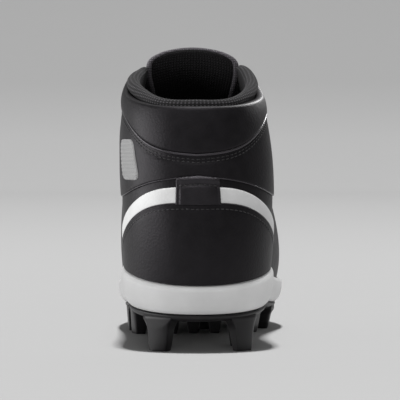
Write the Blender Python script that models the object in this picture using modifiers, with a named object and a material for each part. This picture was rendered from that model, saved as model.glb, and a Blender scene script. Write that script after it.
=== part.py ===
"""A left mid-cut baseball cleat with a moulded stud sole, standing empty on its studs.

Sizes are millimetres until a mesh is made, and Blender then gets metres.
+Y points to the toe, +Z up and +X to the medial side. The floor is z = 0.
Round the shoe, u counts the rows of SECTIONS: heel back, medial side, toe, lateral side.
Up the wall, t runs from 0 at the sole to 1 at the top line of collar and throat.
"""

import math
from collections import namedtuple

import bmesh
import bpy
import numpy as np

MM = 0.001

# Driving sizes
LENGTH = 298.0
BALL_WIDTH = 95.5
INSTEP_HEIGHT = 149.0
WALL = 2.2
GAP = 0.3
PANEL_GAP = 0.35
PANEL_THICK = 1.1

# Sole sizes
UPPER_INSET = 3.0
RIM_INNER_INSET = 8.0
FOOTBED_INSET = 13.5
UNDERSIDE_INSET = 5.5
PLATE_THICK = 3.8
INSOLE_THICK = 4.0

# Heel and collar sizes
TRIM_WIDTH = 7.6
TAB_HALF_WIDTH_U = 0.44
TAB_THICK = 2.2
CUFF_THICK = 1.8

# Throat, tongue and lace sizes
EYESTAY_WIDTH = 19.0
EYELET_INSET = 8.0
EYELET_PAIRS = 7
EYELET_FIRST_U = 8.05
EYELET_LAST_U = 4.35
TONGUE_THICK = 4.0
TONGUE_DROP = 4.0
LACE_WIDTH = 6.0
LACE_THICK = 1.4
LACE_CLEAR = 0.5

# Mesh density: columns for each row of SECTIONS, rows up the wall
COLUMNS_PER_ROW = 4
WALL_ROWS = 12

# One row for each section round the shoe. Along is a share of LENGTH from the heel, across a
# share of BALL_WIDTH, top_height a share of INSTEP_HEIGHT; the handles are millimetres.
Section = namedtuple(
    "Section",
    "name along across top_along top_across top_height low_out low_up high_out high_down",
)
SECTIONS = (
    Section("heel back", 0.000, 0.010, 0.032, 0.000, 0.859, 7.5, 38, 0, 32),
    Section("heel corner medial", 0.034, 0.283, 0.057, 0.215, 0.864, 6.0, 38, 4, 32),
    Section("heel medial", 0.134, 0.431, 0.138, 0.346, 0.890, 3.5, 36, 8.5, 30),
    Section("ankle medial", 0.268, 0.408, 0.238, 0.343, 0.938, 6.5, 34, 8.5, 32),
    Section("waist medial", 0.409, 0.387, 0.332, 0.275, 0.991, 7.5, 32, 16, 32),
    Section("forewaist medial", 0.554, 0.487, 0.416, 0.215, 0.859, 5.0, 28, 22, 20),
    Section("ball medial", 0.691, 0.562, 0.510, 0.173, 0.711, 6.0, 24, 26, 12),
    Section("toe joint medial", 0.826, 0.518, 0.604, 0.136, 0.567, 4.5, 23, 27, 6),
    Section("toe corner medial", 0.943, 0.375, 0.661, 0.099, 0.487, 3.0, 24, 38, 0),
    Section("toe tip", 1.000, 0.070, 0.681, 0.010, 0.463, 2.5, 24, 46, -1),
    Section("toe corner lateral", 0.940, -0.240, 0.661, -0.084, 0.487, 3.0, 24, 38, 0),
    Section("toe joint lateral", 0.815, -0.388, 0.604, -0.126, 0.567, 3.0, 23, 27, 6),
    Section("ball lateral", 0.681, -0.434, 0.510, -0.173, 0.711, 3.5, 24, 25, 12),
    Section("forewaist lateral", 0.537, -0.414, 0.416, -0.225, 0.859, 4.5, 28, 21, 20),
    Section("waist lateral", 0.396, -0.387, 0.330, -0.290, 0.991, 7.5, 32, 15, 32),
    Section("ankle lateral", 0.262, -0.393, 0.235, -0.376, 0.938, 5.0, 34, 6.5, 32),
    Section("heel lateral", 0.134, -0.408, 0.138, -0.350, 0.890, 1.5, 36, 7, 30),
    Section("heel corner lateral", 0.034, -0.262, 0.057, -0.220, 0.864, 5.0, 38, 4, 32),
)
AROUND = len(SECTIONS)
TOE_U = AROUND // 2

# Heights of the sole above the floor, a row for each place along it
Level = namedtuple("Level", "along underside rim footbed")
SOLE_LEVELS = (
    Level(0.00, 19.2, 34.4, 30.0),
    Level(0.13, 23.0, 41.5, 30.5),
    Level(0.34, 27.5, 45.0, 34.0),
    Level(0.50, 20.5, 36.5, 28.0),
    Level(0.64, 15.5, 29.5, 23.5),
    Level(0.80, 16.5, 30.5, 24.0),
    Level(0.91, 20.0, 34.0, 27.0),
    Level(1.00, 25.5, 38.0, 31.5),
)

# Heights of the panel edges above the floor, a row for each place round the heel
Edge = namedtuple("Edge", "u counter_top ankle_low cuff_low")
HEEL_EDGES = (
    Edge(0.0, 77.6, 91.4, 102.8),
    Edge(1.0, 75.3, 88.0, 107.5),
    Edge(2.0, 60.0, 81.0, 122.0),
    Edge(2.6, 50.0, 82.0, 128.0),
    Edge(3.6, 36.0, 100.0, 138.0),
)
COUNTER_END_U = 2.75
TRIM_END_U = 3.3
CUFF_END_U = 3.66
ANKLE_END_U = 3.55
EYESTAY_START_U = 3.74

# The padded roll of the collar, a row for each place from the heel forwards. Its middle lies inset
# from the top line and its crown stands over it, millimetres; it climbs onto the edge at the sides.
Roll = namedtuple("Roll", "u inset stand half_width half_height")
COLLAR_ROLL = (
    Roll(0.00, 6.2, 3.6, 3.4, 3.2),
    Roll(1.40, 6.2, 3.8, 3.4, 3.2),
    Roll(2.10, 5.2, 5.4, 3.5, 3.3),
    Roll(2.80, 3.4, 7.0, 3.6, 3.3),
    Roll(3.30, 2.9, 5.9, 3.0, 2.6),
    Roll(3.66, 1.8, 3.4, 1.6, 1.4),
)

# Length of the toe cap up the wall, a row for each place from the toe tip backwards
CapEdge = namedtuple("CapEdge", "from_toe_u length")
TOE_CAP_EDGES = (CapEdge(0.0, 44.0), CapEdge(1.0, 38.0), CapEdge(1.8, 24.0), CapEdge(2.5, 15.0))

# The tongue's outer face under the throat, a row for each place up it: the rise of its crown over
# the throat edges and its tuck under them, millimetres
Crown = namedtuple("Crown", "u rise tuck")
TONGUE_CROWNS = (
    Crown(8.70, -4.6, 5.0),
    Crown(8.00, -3.2, 5.0),
    Crown(7.00, -1.0, 4.5),
    Crown(6.00, 0.8, 3.0),
    Crown(5.00, 2.0, 1.0),
    Crown(4.25, 3.0, -2.0),
)

# The tongue over the collar, a row for each step: millimetres back and up, and the shares of its
# width and of its roundness that are left
TopStep = namedtuple("TopStep", "back up width round")
TONGUE_TOP = (
    TopStep(3.4, 5.2, 1.05, 0.93),
    TopStep(5.4, 9.0, 1.05, 0.78),
    TopStep(6.6, 11.5, 0.87, 0.60),
    TopStep(7.2, 12.9, 0.58, 0.35),
)

# The studs. Along and across are millimetres, the turn is degrees, the tip is above the floor.
Stud = namedtuple("Stud", "name along across turn long wide tip")
STUDS = (
    Stud("heel rear medial", 17, 25.0, 25, 11.0, 7.5, 0),
    Stud("heel rear lateral", 17, -19.4, -25, 10.8, 7.5, 0),
    Stud("heel front medial", 55, 22.5, 80, 12.0, 6.5, 0),
    Stud("heel front lateral", 55, -20.0, -80, 12.0, 6.5, 0),
    Stud("arch lateral", 150, -30.0, -75, 11.0, 6.0, 0),
    Stud("ball lateral", 180, -33.0, -85, 12.0, 6.0, 0),
    Stud("toe joint lateral", 222, -28.5, 70, 13.0, 6.5, 0),
    Stud("toe lateral", 262, -14.0, 40, 12.0, 6.5, 4),
    Stud("arch medial", 160, 33.0, 70, 12.0, 6.5, 0),
    Stud("ball medial", 196, 42.0, 85, 13.0, 6.5, 0),
    Stud("toe joint medial", 233, 40.0, -75, 13.0, 6.5, 0),
    Stud("toe medial", 268, 24.0, -40, 12.0, 6.5, 4),
    Stud("arch nub lateral", 148, -11.0, 0, 5.5, 5.0, 0),
    Stud("arch nub centre", 151, 1.0, 0, 5.5, 5.0, 0),
    Stud("arch nub medial", 152, 13.0, 0, 5.5, 5.0, 0),
    Stud("ball centre", 188, 5.0, 0, 12.0, 7.0, 0),
    Stud("toe joint centre", 226, 6.0, 0, 12.0, 7.0, 0),
)
STUD_FLARE = 4.5
STUD_ROOT = 1.6
STUD_ROUND = 1.4


def open_spline(places, values):
    """The smooth curve through values at rising places, as a function of place."""
    x, y = np.asarray(places, float), np.asarray(values, float)
    h, slope = np.diff(x), np.diff(y) / np.diff(x)
    matrix, right = np.zeros((len(x), len(x))), np.zeros(len(x))
    matrix[0, :2], right[0] = (2, 1), 3 * slope[0]
    matrix[-1, -2:], right[-1] = (1, 2), 3 * slope[-1]
    for i in range(1, len(x) - 1):
        matrix[i, i - 1 : i + 2] = h[i], 2 * (h[i - 1] + h[i]), h[i - 1]
        right[i] = 3 * (h[i] * slope[i - 1] + h[i - 1] * slope[i])
    tangent = np.linalg.solve(matrix, right)

    def at(place):
        place = np.clip(place, x[0], x[-1])
        i = np.clip(np.searchsorted(x, place, side="right") - 1, 0, len(h) - 1)
        f = (place - x[i]) / h[i]
        start, end = tangent[i] * h[i], tangent[i + 1] * h[i]
        bend = (1 - f) * start - f * end + (2 * f - 1) * (y[i + 1] - y[i])
        return y[i] + f * (y[i + 1] - y[i]) + f * (1 - f) * bend

    return at


def closed_spline(values):
    """The smooth closed curve through rows of values one unit of u apart, as a function of u."""
    rows = np.asarray(values, float)
    count = len(rows)
    near = np.eye(count)
    matrix = 4 * near + np.roll(near, 1, axis=0) + np.roll(near, -1, axis=0)
    tangent = np.linalg.solve(matrix, 3 * (np.roll(rows, -1) - np.roll(rows, 1)))

    def at(u):
        u = np.asarray(u, float)
        i = np.floor(u).astype(int)
        f = u - i
        i, k = i % count, (i + 1) % count
        bend = (1 - f) * tangent[i] - f * tangent[k] + (2 * f - 1) * (rows[k] - rows[i])
        return rows[i] + f * (rows[k] - rows[i]) + f * (1 - f) * bend

    return at


def section_curve(column, size=1.0):
    """One column of SECTIONS as a function of u."""
    return closed_spline([getattr(row, column) * size for row in SECTIONS])


def sole_level(column):
    """One column of SOLE_LEVELS as a function of millimetres along the shoe."""
    return open_spline([r.along * LENGTH for r in SOLE_LEVELS], [getattr(r, column) for r in SOLE_LEVELS])


outline_along = section_curve("along", LENGTH)
outline_across = section_curve("across", BALL_WIDTH)
top_along = section_curve("top_along", LENGTH)
top_across = section_curve("top_across", BALL_WIDTH)
top_height = section_curve("top_height", INSTEP_HEIGHT)
low_out, low_up = section_curve("low_out"), section_curve("low_up")
high_out, high_down = section_curve("high_out"), section_curve("high_down")
underside, rim, footbed = sole_level("underside"), sole_level("rim"), sole_level("footbed")


def outward(u):
    """The level direction out of the sole's outline at u, as x and y."""
    step = 0.01
    dx = outline_across(u + step) - outline_across(u - step)
    dy = outline_along(u + step) - outline_along(u - step)
    size = np.hypot(dx, dy)
    return dy / size, -dx / size


def inset_ring(u, inset, height, lift=0.0):
    """The sole's outline moved in by inset, at the height that a function of along gives."""
    out_x, out_y = outward(u)
    x, y = outline_across(u) - inset * out_x, outline_along(u) - inset * out_y
    return np.stack([x, y, height(y) + lift], axis=-1)


def wall_point(u, t):
    """The upper's outer surface at u and t: a curve from the sole's rim to the top line."""
    u, t = np.broadcast_arrays(np.asarray(u, float), np.asarray(t, float))
    out_x, out_y = outward(u)
    out = np.stack([out_x, out_y, np.zeros_like(out_x)], axis=-1)
    up = np.array([0.0, 0.0, 1.0])
    base = inset_ring(u, UPPER_INSET, rim, GAP)
    top = np.stack([top_across(u), top_along(u), top_height(u)], axis=-1)
    low = base + out * low_out(u)[..., None] + up * low_up(u)[..., None]
    high = top + out * high_out(u)[..., None] - up * high_down(u)[..., None]
    t = t[..., None]
    return (1 - t) ** 3 * base + 3 * (1 - t) ** 2 * t * low + 3 * (1 - t) * t**2 * high + t**3 * top


def wall_normal(u, t):
    """The direction out of the upper's wall."""
    step = 0.004
    t = np.clip(t, step, 1 - step)
    across = wall_point(u + step, t) - wall_point(u - step, t)
    climb = wall_point(u, t + step) - wall_point(u, t - step)
    normal = np.cross(across, climb)
    return normal / np.linalg.norm(normal, axis=-1, keepdims=True)


def lifted(u, t, lift):
    """A point of the wall moved out by lift."""
    u, t = np.broadcast_arrays(np.asarray(u, float), np.asarray(t, float))
    return wall_point(u, t) + wall_normal(u, t) * np.asarray(lift)[..., None]


def t_at_height(u, height):
    """Where the wall at u reaches a height above the floor."""
    t = np.linspace(0, 1, 201)
    return np.array([np.interp(h, wall_point(v, t)[:, 2], t) for v, h in zip(u, height)])


def t_at_length(u, length, from_top=False):
    """Where the wall at u is a length away from the sole, or from the top line."""
    t = np.linspace(0, 1, 201)
    found = []
    for v, wanted in zip(u, length):
        steps = np.linalg.norm(np.diff(wall_point(v, t), axis=0), axis=1)
        run = np.concatenate([[0], np.cumsum(steps)])
        found.append(np.interp(run[-1] - wanted if from_top else wanted, run, t))
    return np.array(found)


def columns_between(start, end):
    """The upper's own columns from start to end, with both ends."""
    first, last = math.ceil(start * COLUMNS_PER_ROW), math.floor(end * COLUMNS_PER_ROW)
    inner = np.arange(first, last + 1) / COLUMNS_PER_ROW
    apart = 0.3 / COLUMNS_PER_ROW
    inner = inner[(inner - start > apart) & (end - inner > apart)]
    return np.concatenate([[start], inner, [end]])


def heel_edge(column):
    """One column of HEEL_EDGES as a function of u, the same on both sides of the heel."""
    curve = open_spline([r.u for r in HEEL_EDGES], [getattr(r, column) for r in HEEL_EDGES])
    return lambda u: curve(np.abs(u))


counter_top, ankle_low, cuff_low = heel_edge("counter_top"), heel_edge("ankle_low"), heel_edge("cuff_low")


def around_columns():
    """Every u that has a column of the upper and the sole."""
    return np.arange(AROUND * COLUMNS_PER_ROW) / COLUMNS_PER_ROW


def origin():
    """The point of the shoe that becomes the origin: the middle of its plan, on the floor."""
    x = outline_across(around_columns())
    y = outline_along(around_columns())
    counter = lifted(np.zeros(101), np.linspace(0, 1, 101), np.full(101, PANEL_GAP + PANEL_THICK))
    back = counter[counter[:, 2] < counter_top(0.0), 1].min()
    return np.array([(x.min() + x.max()) / 2, (back + y.max()) / 2, 0.0])


ORIGIN = origin()


def material(name, colour, roughness):
    """A Principled BSDF of one colour."""
    made = bpy.data.materials.new(name)
    made.use_nodes = True
    shader = made.node_tree.nodes["Principled BSDF"]
    shader.inputs["Base Color"].default_value = (*colour, 1.0)
    shader.inputs["Roughness"].default_value = roughness
    return made


def mesh_object(name, points, faces, look, collection):
    """A smooth-shaded object from points in millimetres of the shoe."""
    mesh = bpy.data.meshes.new(name)
    placed = (np.asarray(points, float).reshape(-1, 3) - ORIGIN) * MM
    mesh.from_pydata(placed.tolist(), [], faces)
    mesh.shade_smooth()
    mesh.set_sharp_from_angle(angle=math.radians(40))
    mesh.materials.append(look)
    made = bpy.data.objects.new(name, mesh)
    collection.objects.link(made)
    return made


def grid_faces(rows, columns, around=False):
    """Quads over rows of points. Around joins the last column to the first."""
    faces = []
    for j in range(rows - 1):
        for i in range(columns if around else columns - 1):
            k = (i + 1) % columns
            faces.append((j * columns + i, j * columns + k, (j + 1) * columns + k, (j + 1) * columns + i))
    return faces


def fill_across(first, count, upward):
    """Quads across a ring of points, from the medial side to the lateral side."""
    faces = []
    for i in range(count // 2):
        corners = [i, i + 1, count - i - 1, (count - i) % count]
        face = [first + c for n, c in enumerate(corners) if c not in corners[:n]]
        faces.append(tuple(face if upward else face[::-1]))
    return faces


def slab(name, rings, look, collection):
    """A closed solid through rings of points, filled across its first and last ring."""
    count = len(rings[0])
    faces = grid_faces(len(rings), count, around=True)
    faces += fill_across(0, count, upward=False)
    faces += fill_across((len(rings) - 1) * count, count, upward=True)
    return mesh_object(name, np.concatenate(rings), faces, look, collection)


def thicken(made, thickness, outwards):
    """Gives an open surface its thickness."""
    solidify = made.modifiers.new("thickness", "SOLIDIFY")
    solidify.thickness = thickness * MM
    solidify.offset = 1.0 if outwards else -1.0
    solidify.use_even_offset = True
    return made


def panel(name, u, t_low, t_high, rows, thickness, look, collection):
    """A leather panel that lies on the upper between two edges, a t for each u."""
    share = np.linspace(0, 1, rows)[:, None]
    t = t_low + share * (t_high - t_low)
    points = lifted(np.broadcast_to(u, t.shape), t, np.full(t.shape, PANEL_GAP))
    made = mesh_object(name, points, grid_faces(rows, len(u)), look, collection)
    return thicken(made, thickness, outwards=True)


def union(made, other, cutters):
    """Joins another object's shape to made, and keeps the other as a hidden helper."""
    other.hide_render = True
    other.display_type = "WIRE"
    for home in list(other.users_collection):
        home.objects.unlink(other)
    cutters.objects.link(other)
    join = made.modifiers.new("join", "BOOLEAN")
    join.operation = "UNION"
    join.object = other
    return made


def build_midsole(look, collection):
    """The foam cup: rounded side wall, flat rim that carries the upper, dished footbed."""
    u = around_columns()

    def wall(share):
        return lambda y: underside(y) + share * (rim(y) - underside(y))

    rings = [
        inset_ring(u, UNDERSIDE_INSET, wall(0.0)),
        inset_ring(u, 2.0, wall(0.14)),
        inset_ring(u, 0.3, wall(0.42)),
        inset_ring(u, 0.0, wall(0.66)),
        inset_ring(u, 0.5, wall(0.93)),
        inset_ring(u, 1.4, wall(1.0)),
        inset_ring(u, RIM_INNER_INSET, wall(1.0)),
        inset_ring(u, FOOTBED_INSET, footbed),
    ]
    return slab("midsole", rings, look, collection)


def build_insole(look, collection):
    """The footbed that lies in the cup."""
    u = around_columns()
    rings = [
        inset_ring(u, FOOTBED_INSET + 0.6, footbed, GAP),
        inset_ring(u, FOOTBED_INSET - 0.2, footbed, GAP + 0.75 * INSOLE_THICK),
        inset_ring(u, FOOTBED_INSET + 1.2, footbed, GAP + INSOLE_THICK),
    ]
    return slab("insole", rings, look, collection)


def stud_mesh(row, work):
    """Adds one stud to a bmesh: a tapered block with rounded corners, tip down."""
    root = float(underside(np.array(row.along))) - GAP - PLATE_THICK + STUD_ROOT
    block = bmesh.ops.create_cube(work, size=1.0)["verts"]
    turn = math.radians(row.turn)
    for corner in block:
        flare = STUD_FLARE if corner.co.z > 0 else 0.0
        x, y = corner.co.x * (row.long + flare), corner.co.y * (row.wide + flare)
        z = root if corner.co.z > 0 else row.tip
        across = row.across + x * math.cos(turn) - y * math.sin(turn)
        along = row.along + x * math.sin(turn) + y * math.cos(turn)
        corner.co = (np.array([across, along, z]) - ORIGIN) * MM
    upright = []
    for corner in block:
        if corner.co.z > 0.5 * (root + row.tip) * MM:
            upright += [e for e in corner.link_edges if e.other_vert(corner).co.z < corner.co.z - MM]
    bmesh.ops.bevel(work, geom=upright, offset=STUD_ROUND * MM, segments=2, affect="EDGES", profile=0.5)


def build_outsole(look, collection, cutters):
    """The moulded plate under the midsole, with its studs."""
    u = around_columns()

    def plate(share):
        return lambda y: underside(y) - GAP - PLATE_THICK * (1 - share)

    rings = [
        inset_ring(u, UNDERSIDE_INSET + 3.0, plate(0.0)),
        inset_ring(u, UNDERSIDE_INSET - 0.6, plate(0.3)),
        inset_ring(u, UNDERSIDE_INSET - 1.6, plate(0.85)),
        inset_ring(u, UNDERSIDE_INSET - 0.8, plate(1.0)),
    ]
    made = slab("outsole", rings, look, collection)
    work = bmesh.new()
    for row in STUDS:
        stud_mesh(row, work)
    mesh = bpy.data.meshes.new("studs")
    work.to_mesh(mesh)
    work.free()
    studs = bpy.data.objects.new("studs", mesh)
    collection.objects.link(studs)
    return union(made, studs, cutters)


def build_upper(look, collection):
    """The leather shell: one wall, open at collar, throat and sole."""
    u = around_columns()
    t = np.linspace(0, 1, WALL_ROWS)[:, None]
    points = wall_point(np.broadcast_to(u, (WALL_ROWS, len(u))), np.broadcast_to(t, (WALL_ROWS, len(u))))
    made = mesh_object("upper", points, grid_faces(WALL_ROWS, len(u), around=True), look, collection)
    return thicken(made, WALL, outwards=False)


def build_heel_panels(black, white, collection):
    """Counter, edging, tab, ankle panel and padded cuff at the back of the shoe."""
    u = columns_between(-COUNTER_END_U, COUNTER_END_U)
    foot = t_at_length(u, np.full(len(u), 0.6))
    panel("heel_counter", u, foot, t_at_height(u, counter_top(u)), 6, PANEL_THICK, black, collection)

    for side, name in ((1, "heel_trim_medial"), (-1, "heel_trim_lateral")):
        u = columns_between(TAB_HALF_WIDTH_U + 0.02, TRIM_END_U)
        u = u if side > 0 else -u[::-1]
        low = t_at_height(u, counter_top(u) + 2 * GAP)
        high = t_at_height(u, counter_top(u) + 2 * GAP + TRIM_WIDTH)
        panel(name, u, np.maximum(low, 0.01), high, 3, PANEL_THICK, white, collection)

    u = columns_between(-TAB_HALF_WIDTH_U, TAB_HALF_WIDTH_U)
    low, high = t_at_height(u, counter_top(u) + 2 * GAP), t_at_height(u, ankle_low(u) - 2 * GAP)
    panel("heel_tab", u, low, high, 4, TAB_THICK, black, collection)

    u = columns_between(-ANKLE_END_U, ANKLE_END_U)
    low, high = t_at_height(u, ankle_low(u)), t_at_height(u, cuff_low(u) - 2 * GAP)
    panel("ankle_panel", u, low, high, 5, PANEL_THICK, black, collection)

    u = columns_between(-CUFF_END_U, CUFF_END_U)
    low, high = t_at_height(u, cuff_low(u)), np.full(len(u), 0.995)
    panel("collar_cuff", u, low, high, 4, CUFF_THICK, black, collection)


def collar_roll_size(column, u):
    """One column of COLLAR_ROLL at u, the same on both sides of the heel."""
    curve = open_spline([r.u for r in COLLAR_ROLL], [getattr(r, column) for r in COLLAR_ROLL])
    return curve(np.abs(u))


def build_collar_roll(look, collection):
    """The padded roll of lining along the top of the collar."""
    sides = 8
    u = columns_between(-CUFF_END_U, CUFF_END_U)
    top, out = wall_point(u, np.ones(len(u))), np.stack([*outward(u), np.zeros(len(u))], axis=-1)
    half_width, half_height = collar_roll_size("half_width", u), collar_roll_size("half_height", u)
    centre = top - out * collar_roll_size("inset", u)[:, None]
    centre[:, 2] += collar_roll_size("stand", u) - half_height
    rings = []
    for turn in np.arange(sides) * 2 * math.pi / sides:
        ring = centre + out * (half_width * math.cos(turn))[:, None]
        ring[:, 2] += half_height * math.sin(turn)
        rings.append(ring)
    points = np.stack(rings, axis=1)
    faces = grid_faces(len(u), sides, around=True)
    last = (len(u) - 1) * sides
    faces += [tuple(range(sides))[::-1], tuple(range(last, last + sides))]
    made = mesh_object("collar_roll", points, faces, look, collection)
    work = bmesh.new()
    work.from_mesh(made.data)
    bmesh.ops.recalc_face_normals(work, faces=work.faces)
    work.to_mesh(made.data)
    work.free()
    return made


def build_eyestay(look, collection):
    """The leather panel round the throat, in one piece from collar to collar."""
    u = columns_between(EYESTAY_START_U, AROUND - EYESTAY_START_U)
    low = t_at_length(u, np.full(len(u), EYESTAY_WIDTH), from_top=True)
    return panel("eyestay", u, low, np.full(len(u), 0.995), 4, PANEL_THICK, look, collection)


def build_toe_cap(look, collection):
    """The leather panel round the toe."""
    reach = TOE_CAP_EDGES[-1].from_toe_u
    length = open_spline([r.from_toe_u for r in TOE_CAP_EDGES], [r.length for r in TOE_CAP_EDGES])
    u = columns_between(TOE_U - reach, TOE_U + reach)
    low = t_at_length(u, np.full(len(u), 0.6))
    high = t_at_length(u, length(np.abs(u - TOE_U)))
    return panel("toe_cap", u, low, high, 7, PANEL_THICK, look, collection)


def throat_frame(u):
    """Middle and half width of the throat at u, with its directions across, up the throat and out."""
    ends = wall_point(np.array([u, AROUND - u]), np.ones(2))
    further = wall_point(np.array([u - 0.1, AROUND - u + 0.1]), np.ones(2))
    across = (ends[0] - ends[1]) / np.linalg.norm(ends[0] - ends[1])
    along = further.mean(axis=0) - ends.mean(axis=0)
    along = along - across * (along @ across)
    along /= np.linalg.norm(along)
    return ends.mean(axis=0), np.linalg.norm(ends[0] - ends[1]) / 2, across, np.cross(along, across)


def tongue_row(u, columns):
    """Points across the tongue's outer face at u: a crown that falls away under both edges."""
    places = [-r.u for r in TONGUE_CROWNS]
    rise = float(open_spline(places, [r.rise for r in TONGUE_CROWNS])(-u))
    tuck = float(open_spline(places, [r.tuck for r in TONGUE_CROWNS])(-u))
    middle, half_width, across, out = throat_frame(u)
    sideways = np.linspace(1, -1, columns) * (half_width + tuck)
    fall = max(rise + TONGUE_DROP, 0.0) * (sideways / half_width) ** 2
    return middle + np.outer(sideways, across) + np.outer(rise - fall, out)


def build_tongue(look, collection):
    """The padded tongue: a sheet under the throat edges that stands over the collar."""
    columns = 11
    low, high = TONGUE_CROWNS[0].u, TONGUE_CROWNS[-1].u
    rows = [tongue_row(u, columns) for u in np.linspace(low, high, 11)]
    last = rows[-1]
    crown = last[columns // 2]
    for step in TONGUE_TOP:
        narrowed = crown + (last - crown) * np.array([step.width, step.round, step.round])
        rows.append(narrowed + np.array([0, -step.back, step.up]))
    points = np.array(rows)
    made = mesh_object("tongue", points, grid_faces(len(rows), columns), look, collection)
    return thicken(made, TONGUE_THICK, outwards=False)


def eyelet_u(number):
    """Where an eyelet pair lies round the shoe, on the medial side. Number 0 is next to the toe."""
    return EYELET_FIRST_U + (EYELET_LAST_U - EYELET_FIRST_U) * number / (EYELET_PAIRS - 1)


def eyelet(number, side):
    """The middle of an eyelet on the eyestay's outer face. Side is 1 for medial, -1 for lateral."""
    u = np.array([eyelet_u(number) if side > 0 else AROUND - eyelet_u(number)])
    t = t_at_length(u, [EYELET_INSET], from_top=True)
    return lifted(u, t, np.array([PANEL_GAP + PANEL_THICK]))[0]


def under_edge(number, side):
    """Where a lace comes out from under the throat edge, a little past an eyelet."""
    row = tongue_row(eyelet_u(number) - 0.12, 13)
    return row[3] if side > 0 else row[-4]


def lace_ground():
    """Points of the eyestay and the tongue that the laces lie over."""
    tongue = [tongue_row(u, 41) for u in np.linspace(TONGUE_CROWNS[0].u, TONGUE_CROWNS[-1].u, 90)]
    u = np.linspace(EYESTAY_START_U, AROUND - EYESTAY_START_U, 400)
    low = t_at_length(u, np.full(len(u), EYESTAY_WIDTH), from_top=True)
    t = low + np.linspace(0, 1, 20)[:, None] * (0.995 - low)
    stay = lifted(np.broadcast_to(u, t.shape), t, np.full(t.shape, PANEL_GAP + PANEL_THICK))
    return np.concatenate([np.concatenate(tongue), stay.reshape(-1, 3)])


def taut(heights):
    """The heights of a cord pulled tight over bumps of these heights."""
    pulled = heights.copy()
    for i in range(len(heights)):
        for k in range(i + 2, len(heights)):
            line = np.linspace(heights[i], heights[k], k - i + 1)
            pulled[i : k + 1] = np.maximum(pulled[i : k + 1], line)
    return pulled


def lace_strap(name, start, end, out, ground, look, collection):
    """A flat lace pulled tight over the ground from start to end."""
    stations = 13
    along = end - start
    length = np.linalg.norm(along)
    along /= length
    up = out - along * (out @ along)
    up /= np.linalg.norm(up)
    side = np.cross(up, along)
    near = ground - start
    near = near[np.abs(near @ side) < LACE_WIDTH / 2 + 0.8]
    run, height = near @ along, near @ up
    places = np.linspace(0, length, stations)
    reach = 0.75 * length / (stations - 1)
    bumps = [height[np.abs(run - place) < reach].max(initial=-1.0) for place in places]
    level = taut(np.array(bumps)) + LACE_CLEAR
    corners = [(0.5, 0.0), (0.5, 1.0), (-0.5, 1.0), (-0.5, 0.0)]
    points = []
    for place, low in zip(places, level):
        for wide, thick in corners:
            lift = low + thick * LACE_THICK
            points.append(start + along * place + side * wide * LACE_WIDTH + up * lift)
    last = (stations - 1) * len(corners)
    faces = grid_faces(stations, len(corners), around=True)
    faces += [(3, 2, 1, 0), (last, last + 1, last + 2, last + 3)]
    return mesh_object(name, points, faces, look, collection)


def build_laces(look, collection, cutters):
    """A bar over the lowest eyelets, and a cross from each pair to the next."""
    ground = lace_ground()
    out = throat_frame(eyelet_u(0))[3]
    lace_strap("lace_bar", eyelet(0, 1), eyelet(0, -1), out, ground, look, collection)
    for number in range(EYELET_PAIRS - 1):
        out = throat_frame((eyelet_u(number) + eyelet_u(number + 1)) / 2)[3]
        name = f"lace_cross_{number + 1}"
        ends = [(under_edge(number, side), eyelet(number + 1, -side)) for side in (1, -1)]
        made = lace_strap(name, *ends[0], out, ground, look, collection)
        other = lace_strap(name + "_other", *ends[1], out, ground, look, collection)
        union(made, other, cutters)


def clear_scene():
    """Starts from an empty scene."""
    for old in list(bpy.data.objects):
        bpy.data.objects.remove(old)


def main():
    clear_scene()
    collection = bpy.data.collections.new("baseball_cleat")
    cutters = bpy.data.collections.new("cutters")
    for made in (collection, cutters):
        bpy.context.scene.collection.children.link(made)
    leather = material("black_leather", (0.022, 0.022, 0.024), 0.5)
    textile = material("black_textile", (0.016, 0.016, 0.017), 0.85)
    white_leather = material("white_leather", (0.8, 0.8, 0.8), 0.5)
    foam = material("white_foam", (0.78, 0.78, 0.77), 0.6)
    plate = material("black_plate", (0.02, 0.02, 0.022), 0.4)
    build_midsole(foam, collection)
    build_insole(textile, collection)
    build_outsole(plate, collection, cutters)
    build_upper(leather, collection)
    build_heel_panels(leather, white_leather, collection)
    build_collar_roll(textile, collection)
    build_eyestay(leather, collection)
    build_toe_cap(leather, collection)
    build_tongue(textile, collection)
    build_laces(textile, collection, cutters)


main()
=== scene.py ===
"""The finished look of a left mid-cut baseball cleat with a moulded stud sole.

Shapes are millimetres of the shoe until a mesh is made: x to the medial side, y from heel to toe,
z up from the floor. Round the shoe, u counts the rows of SECTIONS: heel back, medial side, toe,
lateral side. Up the wall, t runs from 0 at the sole to 1 at the top line of collar and throat.
The studio, its lights and its camera are in metres.
"""

import math
from collections import namedtuple
from itertools import product

import bpy
import numpy as np
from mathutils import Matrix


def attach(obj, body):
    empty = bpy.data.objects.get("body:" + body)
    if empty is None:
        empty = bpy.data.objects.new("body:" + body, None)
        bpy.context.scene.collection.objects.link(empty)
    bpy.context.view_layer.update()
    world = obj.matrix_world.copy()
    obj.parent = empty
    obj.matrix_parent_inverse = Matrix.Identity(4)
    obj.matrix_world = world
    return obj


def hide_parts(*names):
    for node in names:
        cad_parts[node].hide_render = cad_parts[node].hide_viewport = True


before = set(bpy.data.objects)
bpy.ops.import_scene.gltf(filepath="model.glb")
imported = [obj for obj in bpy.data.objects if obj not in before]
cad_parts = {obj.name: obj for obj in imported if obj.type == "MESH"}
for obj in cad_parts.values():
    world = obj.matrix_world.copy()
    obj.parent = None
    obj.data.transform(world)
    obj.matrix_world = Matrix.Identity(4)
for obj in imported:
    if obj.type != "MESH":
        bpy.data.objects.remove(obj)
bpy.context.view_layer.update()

MM = 0.001
UP = np.array([0.0, 0.0, 1.0])

# The medial and the lateral side
SIDES = (1, -1)

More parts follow.
